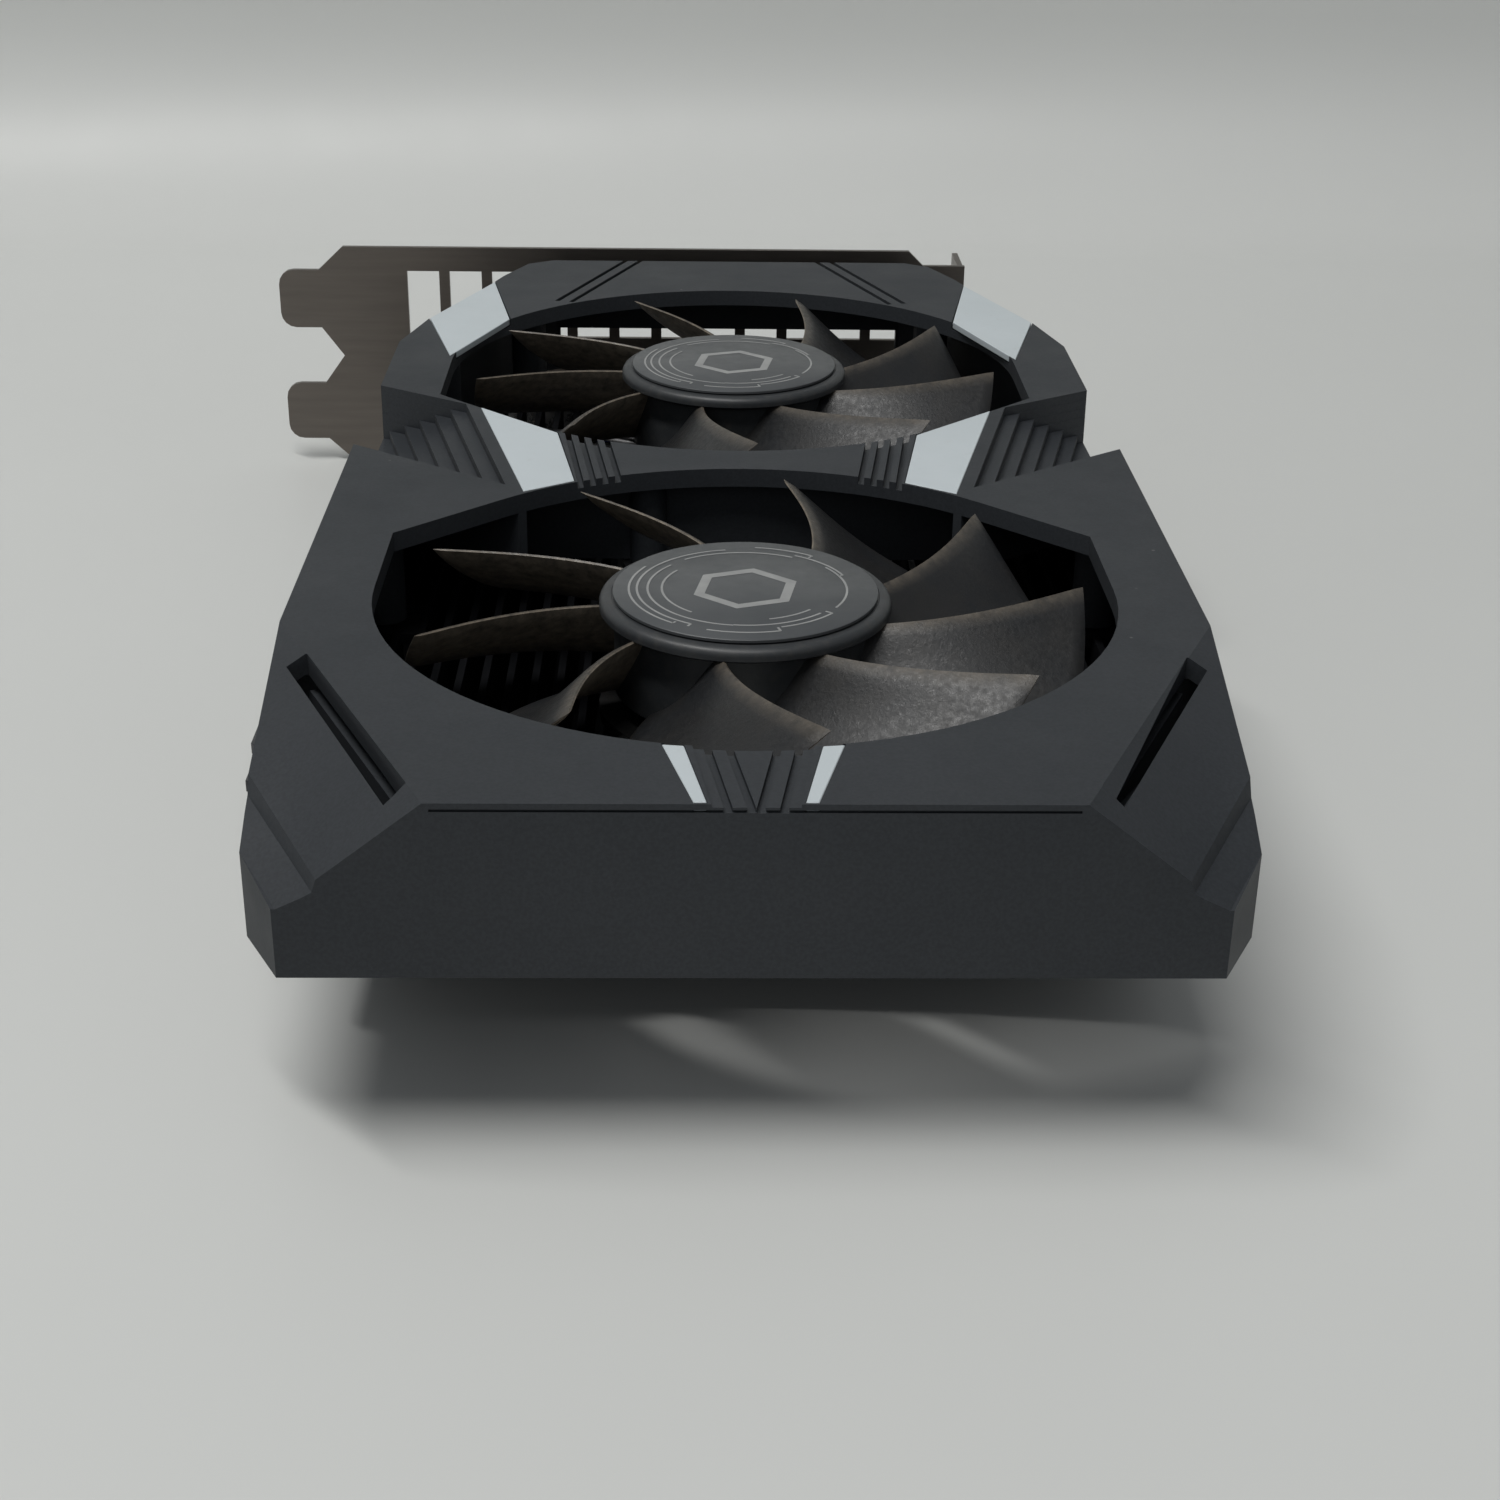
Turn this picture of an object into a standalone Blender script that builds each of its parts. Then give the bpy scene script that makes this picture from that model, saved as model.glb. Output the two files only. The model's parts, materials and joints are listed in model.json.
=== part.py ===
"""Two-slot graphics card with two axial fans, lying on its back with the fans up.

Lengths are in millimetres in the tables and functions, and MM turns them into metres where a
mesh is made. The drawing's own origin is the axis of the tail fan, on the surface that the card
lies on: X runs across the card, Y along it to the bracket, Z up. The empty "card_frame" carries
every part from there to an origin under the middle of the whole card.
"""
import math

import bmesh
import bpy
from mathutils import Matrix, Vector

MM = 0.001
GAP = 0.2            # left between pieces that touch

# Shroud
TOP = 38.6           # height of the shroud's top plane
WALL_FOOT = 20.1     # the shroud's walls hang down to here
WALL = 2.0
TOP_WALL = 2.4
HALF_WIDTH = 50.6
TAIL = -53.5
REAR = 151.5
RIDGE_HALF = 30.56   # half the length of the ridge over the tail face
FAN_SPACING = 90.35
INLAY_THICK = 1.0
GROOVE = 0.8
GROOVE_DEPTH = 0.9
PANEL_DEPTH = 0.35
TERRACES = 6
TERRACE_DROP = 1.29
FACET_MARGIN = 1.8   # flat strip between a mid inlay and the first terrace
SLOT_WIDE = 2.3
SLOT_INSET = 0.2        # how far a slot reaches over its crease
SLOT_WALL = 1.4
SLOT_LEDGE = (27.2, 34.4)
REAR_GAP_HALF = 29.0  # the rear end stands open this far to each side, for the air
REAR_GAP_TOP = 27.4
SEAM = 0.3           # width and depth of the fine line under the tail ridge
SEAM_DROP = 0.6
RIB_HALF = 33.0      # the rib that parts the two fans' air under the top

# Fans
TIP_R = 38.2
TIP_CLEARANCE = 3.3   # between the blade tips and the shroud's opening
HUB_R = 14.8
CAP_R = 16.46
CAP_TOP = 38.0
LABEL_R = 14.9
LABEL_THICK = 0.4
BLADES = 9
BLADE_FOOT = 27.0
SHAFT_R = 1.5
BORE_CLEARANCE = 0.05
MOTOR_PLATE_Z = 23.5
MOTOR_PLATE_THICK = 1.4
ARM_WIDTH = 6.0
OPENING_R = TIP_R + TIP_CLEARANCE
POST_R = OPENING_R + 4.0   # the fan arms end on shroud posts at this radius
FANS = {
    "tail": {"y": 0.0, "blade_phase": 1.55, "arms": (225, 345, 105)},
    "rear": {"y": FAN_SPACING, "blade_phase": -6.0, "arms": (165, 285, 45)},
}

# Bracket
SLOT_PITCH = 20.32
BRACKET_Y = 159.3
BRACKET_THICK = 1.0
BRACKET_HIGH = 38.74
TONGUE_TIP = -78.5
TONGUE_ROOT = -71.5
TONGUE_WIDE = 10.2
PLATE_LEFT = -67.1
FLANGE_X = 41.5
FLANGE_LONG = 11.4
FIRST_TONGUE_Z = 9.21
VENTS = 12
VENT_PITCH = 7.4
VENT_WIDE = 5.6
VENT_LEFT = -56.1
VENT_Z = (22.9, 34.6)

# Board
BOARD_Z = 2.5
BOARD_THICK = 1.57
BOARD_LEFT = -55.9
BOARD_RIGHT = 37.5
BOARD_TAIL = -13.0
FINGER_DEEP = 7.6
FINGER_Y = (30.6, 116.0)
KEY_Y = (101.6, 103.5)
HOOK_Y = 24.0
GPU = (-6.0, 52.0)

# Heatsink
BASE_Z = (8.6, 11.4)
FIN_TOP = 23.2
FIN_THICK = 0.9
FIN_PITCH = 3.0
SINK_HALF = 46.0
SINK_Y = (-30.0, 122.0)
EAR_PAIRS = ((44.6, 28.0), (33.0, 130.0))
EAR_HALF = 4.6
END_FIN_Y = (-24.0, 99.0)
END_FIN_X = 46.85     # the outermost fin, away from the edge connector
HEADER_X = (-48.4, -41.6)
HEADER_Y = (10.8, 20.2)
SINK_CORNER = [(60.0, 106.0), (46.9, 106.0), (37.4, 130.0), (60.0, 130.0)]  # cut from both sides

BOARD_TOP = BOARD_Z + BOARD_THICK
PARTS = bpy.data.collections.new("graphics_card")
CUTTERS = bpy.data.collections.new("cutters")


def clear_scene():
    for obj in list(bpy.data.objects):
        bpy.data.objects.remove(obj, do_unlink=True)
    bpy.context.scene.collection.children.link(PARTS)
    bpy.context.scene.collection.children.link(CUTTERS)


# --- building blocks -------------------------------------------------------------------------

def object_from(name, shape, role=None):
    """An object of the bmesh, in millimetres, among the parts or, by default, the cutters."""
    bmesh.ops.scale(shape, vec=(MM, MM, MM), verts=shape.verts)
    bmesh.ops.recalc_face_normals(shape, faces=shape.faces)
    mesh = bpy.data.meshes.new(name)
    shape.to_mesh(mesh)
    shape.free()
    obj = bpy.data.objects.new(name, mesh)
    if role == "part":
        PARTS.objects.link(obj)
    else:
        CUTTERS.objects.link(obj)
        obj.hide_render = True
        obj.display_type = "WIRE"
    return obj


def box(name, x, y, z, role=None):
    shape = bmesh.new()
    bmesh.ops.create_cube(shape, size=1.0)
    bmesh.ops.scale(shape, vec=(x[1] - x[0], y[1] - y[0], z[1] - z[0]), verts=shape.verts)
    middle = (sum(x) / 2, sum(y) / 2, sum(z) / 2)
    bmesh.ops.translate(shape, vec=middle, verts=shape.verts)
    return object_from(name, shape, role)


def slanted_box(name, start, end, width, z, role=None):
    """A box along the line from start to end in plan."""
    along = Vector(end) - Vector(start)
    shape = bmesh.new()
    bmesh.ops.create_cube(shape, size=1.0)
    bmesh.ops.scale(shape, vec=(along.length, width, z[1] - z[0]), verts=shape.verts)
    middle = (Vector(start) + Vector(end)) / 2
    turn = Matrix.Rotation(math.atan2(along.y, along.x), 4, "Z")
    bmesh.ops.transform(shape, matrix=turn, verts=shape.verts)
    bmesh.ops.translate(shape, vec=(middle.x, middle.y, sum(z) / 2), verts=shape.verts)
    return object_from(name, shape, role)


def cylinder(name, centre, radius, z, role=None, sides=32, axis="Z"):
    shape = bmesh.new()
    bmesh.ops.create_cone(shape, cap_ends=True, segments=sides, radius1=radius, radius2=radius,
                          depth=z[1] - z[0])
    if axis == "Y":
        bmesh.ops.rotate(shape, matrix=Matrix.Rotation(math.pi / 2, 3, "X"), verts=shape.verts)
        place = (centre[0], sum(z) / 2, centre[1])
    else:
        place = (centre[0], centre[1], sum(z) / 2)
    bmesh.ops.translate(shape, vec=place, verts=shape.verts)
    return object_from(name, shape, role)


def prism(name, outline, low, high, role=None, upright=False):
    """The outline's flat face pushed from low to high: along Z, or along Y where upright."""
    shape = bmesh.new()
    if upright:
        corners = [shape.verts.new((x, low, z)) for x, z in outline]
    else:
        corners = [shape.verts.new((x, y, low)) for x, y in outline]
    face = shape.faces.new(corners)
    pushed = bmesh.ops.extrude_face_region(shape, geom=[face])["geom"]
    verts = [v for v in pushed if isinstance(v, bmesh.types.BMVert)]
    push = (0, high - low, 0) if upright else (0, 0, high - low)
    bmesh.ops.translate(shape, vec=push, verts=verts)
    return object_from(name, shape, role)


def turned(name, centre, profile, role=None, steps=48):
    """A profile of (radius, z) points, down its outer side, turned about the upright axis."""
    shape = bmesh.new()
    verts = [shape.verts.new((r, 0, z)) for r, z in profile]
    for first, second in zip(verts, verts[1:]):
        shape.edges.new((first, second))
    if profile[0][0] and profile[-1][0]:
        shape.edges.new((verts[-1], verts[0]))
    obj = object_from(name, shape, role)
    obj.location = (centre[0] * MM, centre[1] * MM, 0)
    screw = obj.modifiers.new("Turn", "SCREW")
    screw.steps = steps
    screw.render_steps = steps
    screw.use_merge_vertices = True
    screw.merge_threshold = 0.00001
    return obj


def boolean(target, other, operation):
    modifier = target.modifiers.new(other.name, "BOOLEAN")
    modifier.operation = operation
    modifier.object = other
    modifier.solver = "EXACT"


def cut(target, *cutters):
    for cutter in cutters:
        boolean(target, cutter, "DIFFERENCE")


def join(target, *others):
    for other in others:
        boolean(target, other, "UNION")


def both_sides(outline):
    """The outline and its mirror image about X = 0."""
    return outline, [(-x, y) for x, y in reversed(outline)]


def offset_outline(points, distance):
    """An open run of points moved to its left by the distance, corners kept sharp."""
    moved = []
    for i, point in enumerate(points):
        here = Vector(point)
        before = (here - Vector(points[i - 1])).normalized() if i else None
        after = (Vector(points[i + 1]) - here).normalized() if i + 1 < len(points) else None
        before = before or after
        after = after or before
        normal_a = Vector((-before.y, before.x))
        normal_b = Vector((-after.y, after.x))
        bisector = (normal_a + normal_b).normalized()
        moved.append(tuple(here + bisector * distance / bisector.dot(normal_a)))
    return moved


def arc(centre, radius, start, end, steps):
    """Points on an arc, with the angles in degrees."""
    angles = [math.radians(start + (end - start) * i / steps) for i in range(steps + 1)]
    return [(centre[0] + radius * math.cos(a), centre[1] + radius * math.sin(a)) for a in angles]


def around(centre, radius, degrees):
    angle = math.radians(degrees)
    return centre[0] + radius * math.cos(angle), centre[1] + radius * math.sin(angle)


# --- materials -------------------------------------------------------------------------------

FINISHES = {
    "shroud_plastic": ((0.045, 0.05, 0.056), 0.55, 0.0),
    "accent_white": ((0.52, 0.58, 0.6), 0.45, 0.0),
    "fan_plastic": ((0.035, 0.036, 0.038), 0.45, 0.0),
    "label_print": ((0.06, 0.065, 0.07), 0.4, 0.0),
    "bracket_steel": ((0.16, 0.13, 0.11), 0.35, 1.0),
    "board_mask": ((0.012, 0.014, 0.02), 0.4, 0.0),
    "gold": ((0.75, 0.5, 0.18), 0.3, 1.0),
    "chip_resin": ((0.02, 0.02, 0.022), 0.5, 0.0),
    "silicon": ((0.3, 0.32, 0.36), 0.15, 0.6),
    "substrate_green": ((0.02, 0.1, 0.05), 0.4, 0.0),
    "aluminium": ((0.6, 0.61, 0.63), 0.35, 1.0),
    "nickel": ((0.55, 0.54, 0.52), 0.3, 1.0),
    "connector_plastic": ((0.02, 0.02, 0.022), 0.6, 0.0),
    "ferrite": ((0.1, 0.1, 0.11), 0.5, 0.2),
    "steel": ((0.5, 0.5, 0.52), 0.3, 1.0),
    "bronze": ((0.6, 0.4, 0.2), 0.35, 1.0),
    "magnet": ((0.12, 0.12, 0.12), 0.6, 0.3),
    "copper_coil": ((0.6, 0.25, 0.1), 0.4, 1.0),
    "lead_rubber": ((0.015, 0.015, 0.017), 0.6, 0.0),
}


def finish(obj, kind):
    """Gives the object its own material of this kind, and smooth shading with sharp edges."""
    colour, roughness, metallic = FINISHES[kind]
    material = bpy.data.materials.new(obj.name + "_" + kind)
    material.use_nodes = True
    shader = material.node_tree.nodes["Principled BSDF"]
    shader.inputs["Base Color"].default_value = (*colour, 1)
    shader.inputs["Roughness"].default_value = roughness
    shader.inputs["Metallic"].default_value = metallic
    obj.data.materials.append(material)
    if obj.type == "MESH":
        obj.data.shade_smooth()
        obj.data.set_sharp_from_angle(angle=math.radians(35))
    return obj


# --- shroud ----------------------------------------------------------------------------------

def opening_outline(y, corner_side, radius):
    """A circle with the corners of an octagon at its two sides, rearward (1) or tailward (-1)."""
    corner = radius * math.tan(math.radians(22.5))
    upper = arc((0, 0), radius, 45, 135, 24)
    lower = arc((0, 0), radius, 180, 360, 48)
    outline = upper + [(-radius, corner)] + lower + [(radius, corner)]
    if corner_side < 0:
        outline = [(px, -py) for px, py in reversed(outline)]
    return [(px, py + y) for px, py in outline]


# The right half of the shroud in plan, from the tail face to the rear face.
SIDE_RUN = [
    (0, TAIL), (45.1, TAIL), (49.2, -45.7), (HALF_WIDTH - 0.2, -10.3), (HALF_WIDTH, 50),
    (HALF_WIDTH - 0.3, 77.2), (HALF_WIDTH - 0.3, 100), (47.12, 113.73), (38.81, 136.55),
    (37.6, 140.5), (34.0, 149.0), (30.0, REAR), (0, REAR),
]
# The tail corner's surface: matching points of its section over the tail face (x, z) and of its
# section along the side wall (y, z), from the crease on the top plane out to the wall's rim.
CORNER_FRONT = [(RIDGE_HALF, TOP), (40.7, 30.65), (41.15, 29.3), (42.2, 28.7), (44.7, 27.5)]
CORNER_SIDE = [(-10.3, TOP), (-37.1, 33.5), (-38.6, 31.9), (-41.0, 31.2), (-45.6, 29.4)]
CORNER_SIDE_X = [50.4, 49.49, 49.44, 49.36, 49.2]
CORNER_STRIPS = [4, 1, 1, 1]  # how finely each band between two sections is divided
CORNER_SHARES = (-0.3, 0, 0.2, 0.4, 0.6, 0.8, 1, 1.3)  # places along each ruled line
# The white inlays beside the openings, and the sunken facets' outline, right side.
MID_INLAY = [(27.07, 32.4), (35.31, 67.31), (24.09, 56.16), (20.91, 36.58)]
REAR_INLAY = [(41.99, 92.72), (47.12, 113.73), (38.81, 136.55), (34.71, 113.45)]
TAIL_INLAY = [(6.69, -41.02), (8.86, -40.73), (5.8, TAIL + 0.45), (4.53, TAIL + 0.45)]
FACET_CORNER = (27.07, 32.4)
FACET_NEAR_END = (HALF_WIDTH, 50)
FACET_FAR = [(35.3, 67.3), (HALF_WIDTH - 0.3, 77.2)]


def line_meet(a, b, c, d):
    """Where the line through a and b meets the line through c and d."""
    a, b, c, d = Vector(a), Vector(b), Vector(c), Vector(d)
    ab, cd = b - a, d - c
    share = (c - a).cross(cd) / ab.cross(cd)
    return tuple(a + ab * share)


def facet_outline(from_inlay, from_near, from_far=0.0):
    """The sunken facet in plan, its two stepped sides moved in by the two distances."""
    inlay_side = offset_outline([FACET_FAR[0], FACET_CORNER], from_inlay)
    near_side = offset_outline([FACET_CORNER, FACET_NEAR_END], from_near)
    corner = line_meet(*inlay_side, *near_side)
    outside = [(60, -200), (60, 200)]
    far_side = offset_outline(FACET_FAR, from_far)
    return [corner, line_meet(*near_side, *outside), line_meet(*far_side, *outside),
            line_meet(*inlay_side, *far_side)]


def corner_rows():
    """The corner surface's ruled lines, as (point over the tail face, point on the side wall)."""
    ends = [(Vector((fx, TAIL, fz)), Vector((sx, sy, sz)))
            for (fx, fz), (sy, sz), sx in zip(CORNER_FRONT, CORNER_SIDE, CORNER_SIDE_X)]
    rows = []
    for (first, second), strips in zip(zip(ends, ends[1:]), CORNER_STRIPS):
        for k in range(strips):
            rows.append(tuple(a.lerp(b, k / strips) for a, b in zip(first, second)))
    return rows + [ends[-1]]


def corner_cutter(name, inset, side):
    """What the tail corner loses: a grid between its two sections, closed above the top."""
    shape = bmesh.new()
    rows = corner_rows()
    outward = Vector((9.0, -4.2, 0))
    rows.append(tuple(point + outward for point in rows[-1]))
    lift = Vector((0, 0, 12))
    rows.append(tuple(point + lift for point in rows[-1]))
    rows.append((rows[0][0] + lift, rows[0][1] + lift))
    shift = Vector((-0.5, 0.22, -0.85)) * inset
    grid = []
    for front, back in rows:
        line = []
        for share in CORNER_SHARES:
            point = front + (back - front) * share + shift
            line.append(shape.verts.new((side * point.x, point.y, point.z)))
        grid.append(line)
    for first, second in zip(grid, grid[1:] + grid[:1]):
        for k in range(len(CORNER_SHARES) - 1):
            shape.faces.new((first[k], second[k], second[k + 1], first[k + 1]))
    shape.faces.new([row[0] for row in grid])
    shape.faces.new([row[-1] for row in reversed(grid)])
    bmesh.ops.triangulate(shape, faces=shape.faces)
    return object_from(name, shape)


def shroud_form(name, inset, foot, role=None):
    """The shroud's solid outer form, or the hollow inside it where inset by the wall."""
    right = SIDE_RUN
    if inset:
        right = offset_outline(right, inset)
        right[0] = (0, right[0][1])
        right[-1] = (0, right[-1][1])
    left = [(-x, y) for x, y in reversed(right[1:-1])]
    top = TOP - (TOP_WALL if inset else 0)
    form = prism(name, right + left, foot, top, role)
    cut(form, corner_cutter(name + "_corner_r", inset, 1), corner_cutter(name + "_corner_l", inset, -1))
    return form


def facet_cutters():
    """Stepped pockets for both sunken facets, one prism for each terrace."""
    found = []
    for k in range(TERRACES):
        outline = facet_outline(FACET_MARGIN + 1.95 * k, 0.5 + 1.45 * k, -0.03 * k)
        for side, run in zip("rl", both_sides(outline)):
            found.append(prism(f"facet_{side}_{k}", run, TOP - TERRACE_DROP * (k + 1), TOP + 5))
    return found


def pocket_outline(outline, grow):
    """An inlay's outline with its corners moved out from the middle."""
    middle = sum((Vector(p) for p in outline), Vector((0, 0))) / len(outline)
    return [tuple(Vector(p) + (Vector(p) - middle).normalized() * grow) for p in outline]


INLAYS = {
    "mid_inlay": MID_INLAY,
    "rear_inlay": REAR_INLAY,
    "tail_inlay": TAIL_INLAY,
}


def make_inlays(shroud):
    for name, outline in INLAYS.items():
        for side, run in zip(("right", "left"), both_sides(outline)):
            pocket = pocket_outline(run, GAP)
            floor = TOP - INLAY_THICK - GAP
            cut(shroud, prism(f"{name}_{side}_pocket", pocket, floor, TOP + 2))
            plate = prism(f"{name}_{side}", run, TOP - INLAY_THICK, TOP, "part")
            finish(plate, "accent_white")


def groove_lines():
    """Start and end in plan of each straight groove on the right half of the top."""
    lines = []
    first = Vector((19.9, 34.5)), Vector((23.1, 58.6))
    for k in range(4):
        across = Vector((-1.65 * k, 0.0))
        lines.append((first[0] + across, first[1] + across))
    for k in range(2):
        across = Vector((2.3 * k, 0.6 * k))
        lines.append((Vector((25.6, 124.0)) + across, Vector((14.6, 153.0)) + across))
    lines.append((Vector((4.6, -40.0)), Vector((2.2, -56.0))))
    lines.append((Vector((2.5, -40.0)), Vector((0.05, -56.0))))
    return lines


def make_tail_panel(shroud):
    """The shallow sunken panel between the two small inlays, from the opening to the tail face."""
    near, far = 6.2, 4.0
    panel = [(-near, TAIL + 14.5), (-far, TAIL - 1), (far, TAIL - 1), (near, TAIL + 14.5)]
    cut(shroud, prism("tail_panel", panel, TOP - PANEL_DEPTH, TOP + 1))


def make_grooves(shroud):
    for k, (start, end) in enumerate(groove_lines()):
        for side in (1, -1):
            ends = [(side * p.x, p.y) for p in (start, end)]
            floor = TOP - GROOVE_DEPTH - (0.05 if side > 0 else 0)
            cut(shroud, slanted_box(f"groove_{k}_{side}", *ends, GROOVE, (floor, TOP + 1)))


def make_corner_slots(shroud):
    """The long blind slots along the tail corners' upper creases, each cut into a bar."""
    start, end = Vector((46.3, -19.2)), Vector((32.6, -49.4))
    outward = Vector((0.909, -0.417)) * (SLOT_WIDE / 2 - SLOT_INSET)
    for side in (1, -1):
        ends = [(side * (p + outward).x, (p + outward).y) for p in (start, end)]
        join(shroud, slanted_box(f"slot_ledge_{side}", *ends, SLOT_WIDE + 2 * SLOT_WALL, SLOT_LEDGE))
        cut(shroud, slanted_box(f"corner_slot_{side}", *ends, SLOT_WIDE,
                                (SLOT_LEDGE[0] + SLOT_WALL, TOP + 1)))


def fan_posts():
    """Plan position of each shroud post that holds a fan arm."""
    return [around((0, fan["y"]), POST_R, angle) for fan in FANS.values() for angle in fan["arms"]]


def make_shroud():
    shroud = shroud_form("shroud", 0, WALL_FOOT, "part")
    cut(shroud, *facet_cutters())
    hollow = shroud_form("hollow", WALL, WALL_FOOT - 3)
    deep = TERRACE_DROP * TERRACES + TOP_WALL
    outline = facet_outline(FACET_MARGIN - WALL, 0.5 - WALL, WALL)
    for side, run in zip("rl", both_sides(outline)):
        cut(hollow, prism(f"facet_wall_{side}", run, TOP - deep, TOP + 5))
    cut(shroud, hollow)
    post_foot = MOTOR_PLATE_Z + MOTOR_PLATE_THICK + GAP
    for k, place in enumerate(fan_posts()):
        join(shroud, cylinder(f"fan_post_{k}", place, 2.4, (post_foot, TOP - 1.7), sides=16))
    middle = FAN_SPACING / 2
    join(shroud, box("middle_rib", (-RIB_HALF, RIB_HALF), (middle - WALL / 2, middle + WALL / 2),
                     (post_foot + 0.1, TOP - 1.6)))
    cut(shroud, box("seam", (0.6 - RIDGE_HALF, RIDGE_HALF - 0.6), (TAIL - 1, TAIL + SEAM),
                    (TOP - SEAM_DROP - SEAM, TOP - SEAM_DROP)))
    for k, (x, y) in enumerate(EAR_PAIRS):
        for side in (1, -1):
            boss = cylinder(f"boss_{k}_{side}", (side * x, y), 2.8, (FIN_TOP + GAP, TOP - 1.7), sides=16)
            hole = cylinder(f"boss_hole_{k}_{side}", (side * x, y), 1.0, (FIN_TOP - 1, 32), sides=12)
            join(shroud, boss)
            cut(shroud, hole)
    cut(shroud, prism("tail_opening", opening_outline(0, 1, OPENING_R), 10, TOP + 2))
    cut(shroud, prism("rear_opening", opening_outline(FAN_SPACING, -1, OPENING_R), 10, TOP + 2))
    cut(shroud, box("rear_gap", (-REAR_GAP_HALF, REAR_GAP_HALF), (REAR - 2 * WALL, REAR + 1),
                    (WALL_FOOT - 1, REAR_GAP_TOP)))
    make_corner_slots(shroud)
    make_inlays(shroud)
    make_tail_panel(shroud)
    make_grooves(shroud)
    finish(shroud, "shroud_plastic")


# --- fans ------------------------------------------------------------------------------------

BLADE_ROWS = 6
BLADE_COLUMNS = 5
BLADE_ROOT_R = 13.9


def blade_edge(share):
    """Leading and trailing edge at a share of the way from root to tip: angle, height each."""
    lead_angle = -23.0 * max(1 - share, 0) ** 1.15
    lead_z = 36.3 + 2.2 * share
    trail_angle = lead_angle - (36.0 - 8.0 * share)
    trail_z = BLADE_FOOT + 0.9 * share
    return lead_angle, lead_z, trail_angle, trail_z


def blade_point(share, along):
    """A point of the blade's middle surface: root to tip, leading to trailing edge."""
    radius = BLADE_ROOT_R + (TIP_R - BLADE_ROOT_R) * share
    lead_angle, lead_z, trail_angle, trail_z = blade_edge(share)
    angle = lead_angle + (trail_angle - lead_angle) * along
    fall = along + 0.16 * math.sin(math.pi * along)
    height = lead_z + (trail_z - lead_z) * fall
    x, y = around((0, 0), radius, angle)
    return Vector((x, y, height))


def blade(name, turn):
    """One blade: the middle surface given its thickness on both sides, closed round the rim."""
    shape = bmesh.new()
    layers = []
    for side in (1, -1):
        layer = []
        for i in range(BLADE_ROWS):
            row = []
            for j in range(BLADE_COLUMNS):
                share, along = i / (BLADE_ROWS - 1), j / (BLADE_COLUMNS - 1)
                step = 0.01
                point = blade_point(share, along)
                across = blade_point(share, along + step) - blade_point(share, along - step)
                outward = blade_point(share + step, along) - blade_point(share - step, along)
                normal = outward.cross(across).normalized()
                half = 0.6 - 0.2 * share - 0.12 * abs(2 * along - 1)
                row.append(shape.verts.new(point + normal * half * side))
            layer.append(row)
        layers.append(layer)
    top, bottom = layers
    for i in range(BLADE_ROWS - 1):
        for j in range(BLADE_COLUMNS - 1):
            shape.faces.new((top[i][j], top[i + 1][j], top[i + 1][j + 1], top[i][j + 1]))
            shape.faces.new((bottom[i][j], bottom[i][j + 1], bottom[i + 1][j + 1], bottom[i + 1][j]))
    rim = [(i, 0) for i in range(BLADE_ROWS)]
    rim += [(BLADE_ROWS - 1, j) for j in range(1, BLADE_COLUMNS)]
    rim += [(i, BLADE_COLUMNS - 1) for i in range(BLADE_ROWS - 2, -1, -1)]
    rim += [(0, j) for j in range(BLADE_COLUMNS - 2, 0, -1)]
    for (i, j), (k, m) in zip(rim, rim[1:] + rim[:1]):
        shape.faces.new((top[i][j], bottom[i][j], bottom[k][m], top[k][m]))
    bmesh.ops.rotate(shape, matrix=Matrix.Rotation(math.radians(turn), 3, "Z"), verts=shape.verts)
    return object_from(name, shape)


def make_impeller(name, centre, phase):
    """Hub with its overhanging cap and the blades, one moulding."""
    under_cap = CAP_TOP - 1.6
    profile = [
        (0, CAP_TOP), (CAP_R - 0.9, CAP_TOP), (CAP_R - 0.25, CAP_TOP - 0.35), (CAP_R, CAP_TOP - 0.9),
        (CAP_R - 0.3, under_cap), (HUB_R, under_cap - 0.2), (HUB_R, BLADE_FOOT - 0.3),
        (HUB_R - 1.5, BLADE_FOOT - 0.3), (HUB_R - 1.5, under_cap - 0.4), (0, under_cap - 0.4),
    ]
    impeller = turned(name + "_impeller", centre, profile, "part", steps=40)
    for k in range(BLADES):
        one = blade(f"{name}_blade_{k}", phase + 360 / BLADES * k)
        one.location = (centre[0] * MM, centre[1] * MM, 0)
        join(impeller, one)
    finish(impeller, "fan_plastic")


def make_rotor_parts(name, centre):
    label = cylinder(f"{name}_hub_label", centre, LABEL_R, (CAP_TOP + GAP, CAP_TOP + GAP + LABEL_THICK),
                     "part", sides=40)
    finish(label, "label_print")
    outer = HUB_R - 1.5 - GAP
    magnet = turned(f"{name}_magnet_ring", centre,
                    [(outer, 34.4), (outer, 27.2), (outer - 1.5, 27.2), (outer - 1.5, 34.4)], "part",
                    steps=28)
    finish(magnet, "magnet")
    top = CAP_TOP - 2.0 - GAP
    shaft = turned(f"{name}_shaft", centre,
                   [(0, top), (SHAFT_R, top), (SHAFT_R, 26.6), (SHAFT_R - 0.3, 26.3), (0, 26.3)], "part",
                   steps=24)
    finish(shaft, "steel")


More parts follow.
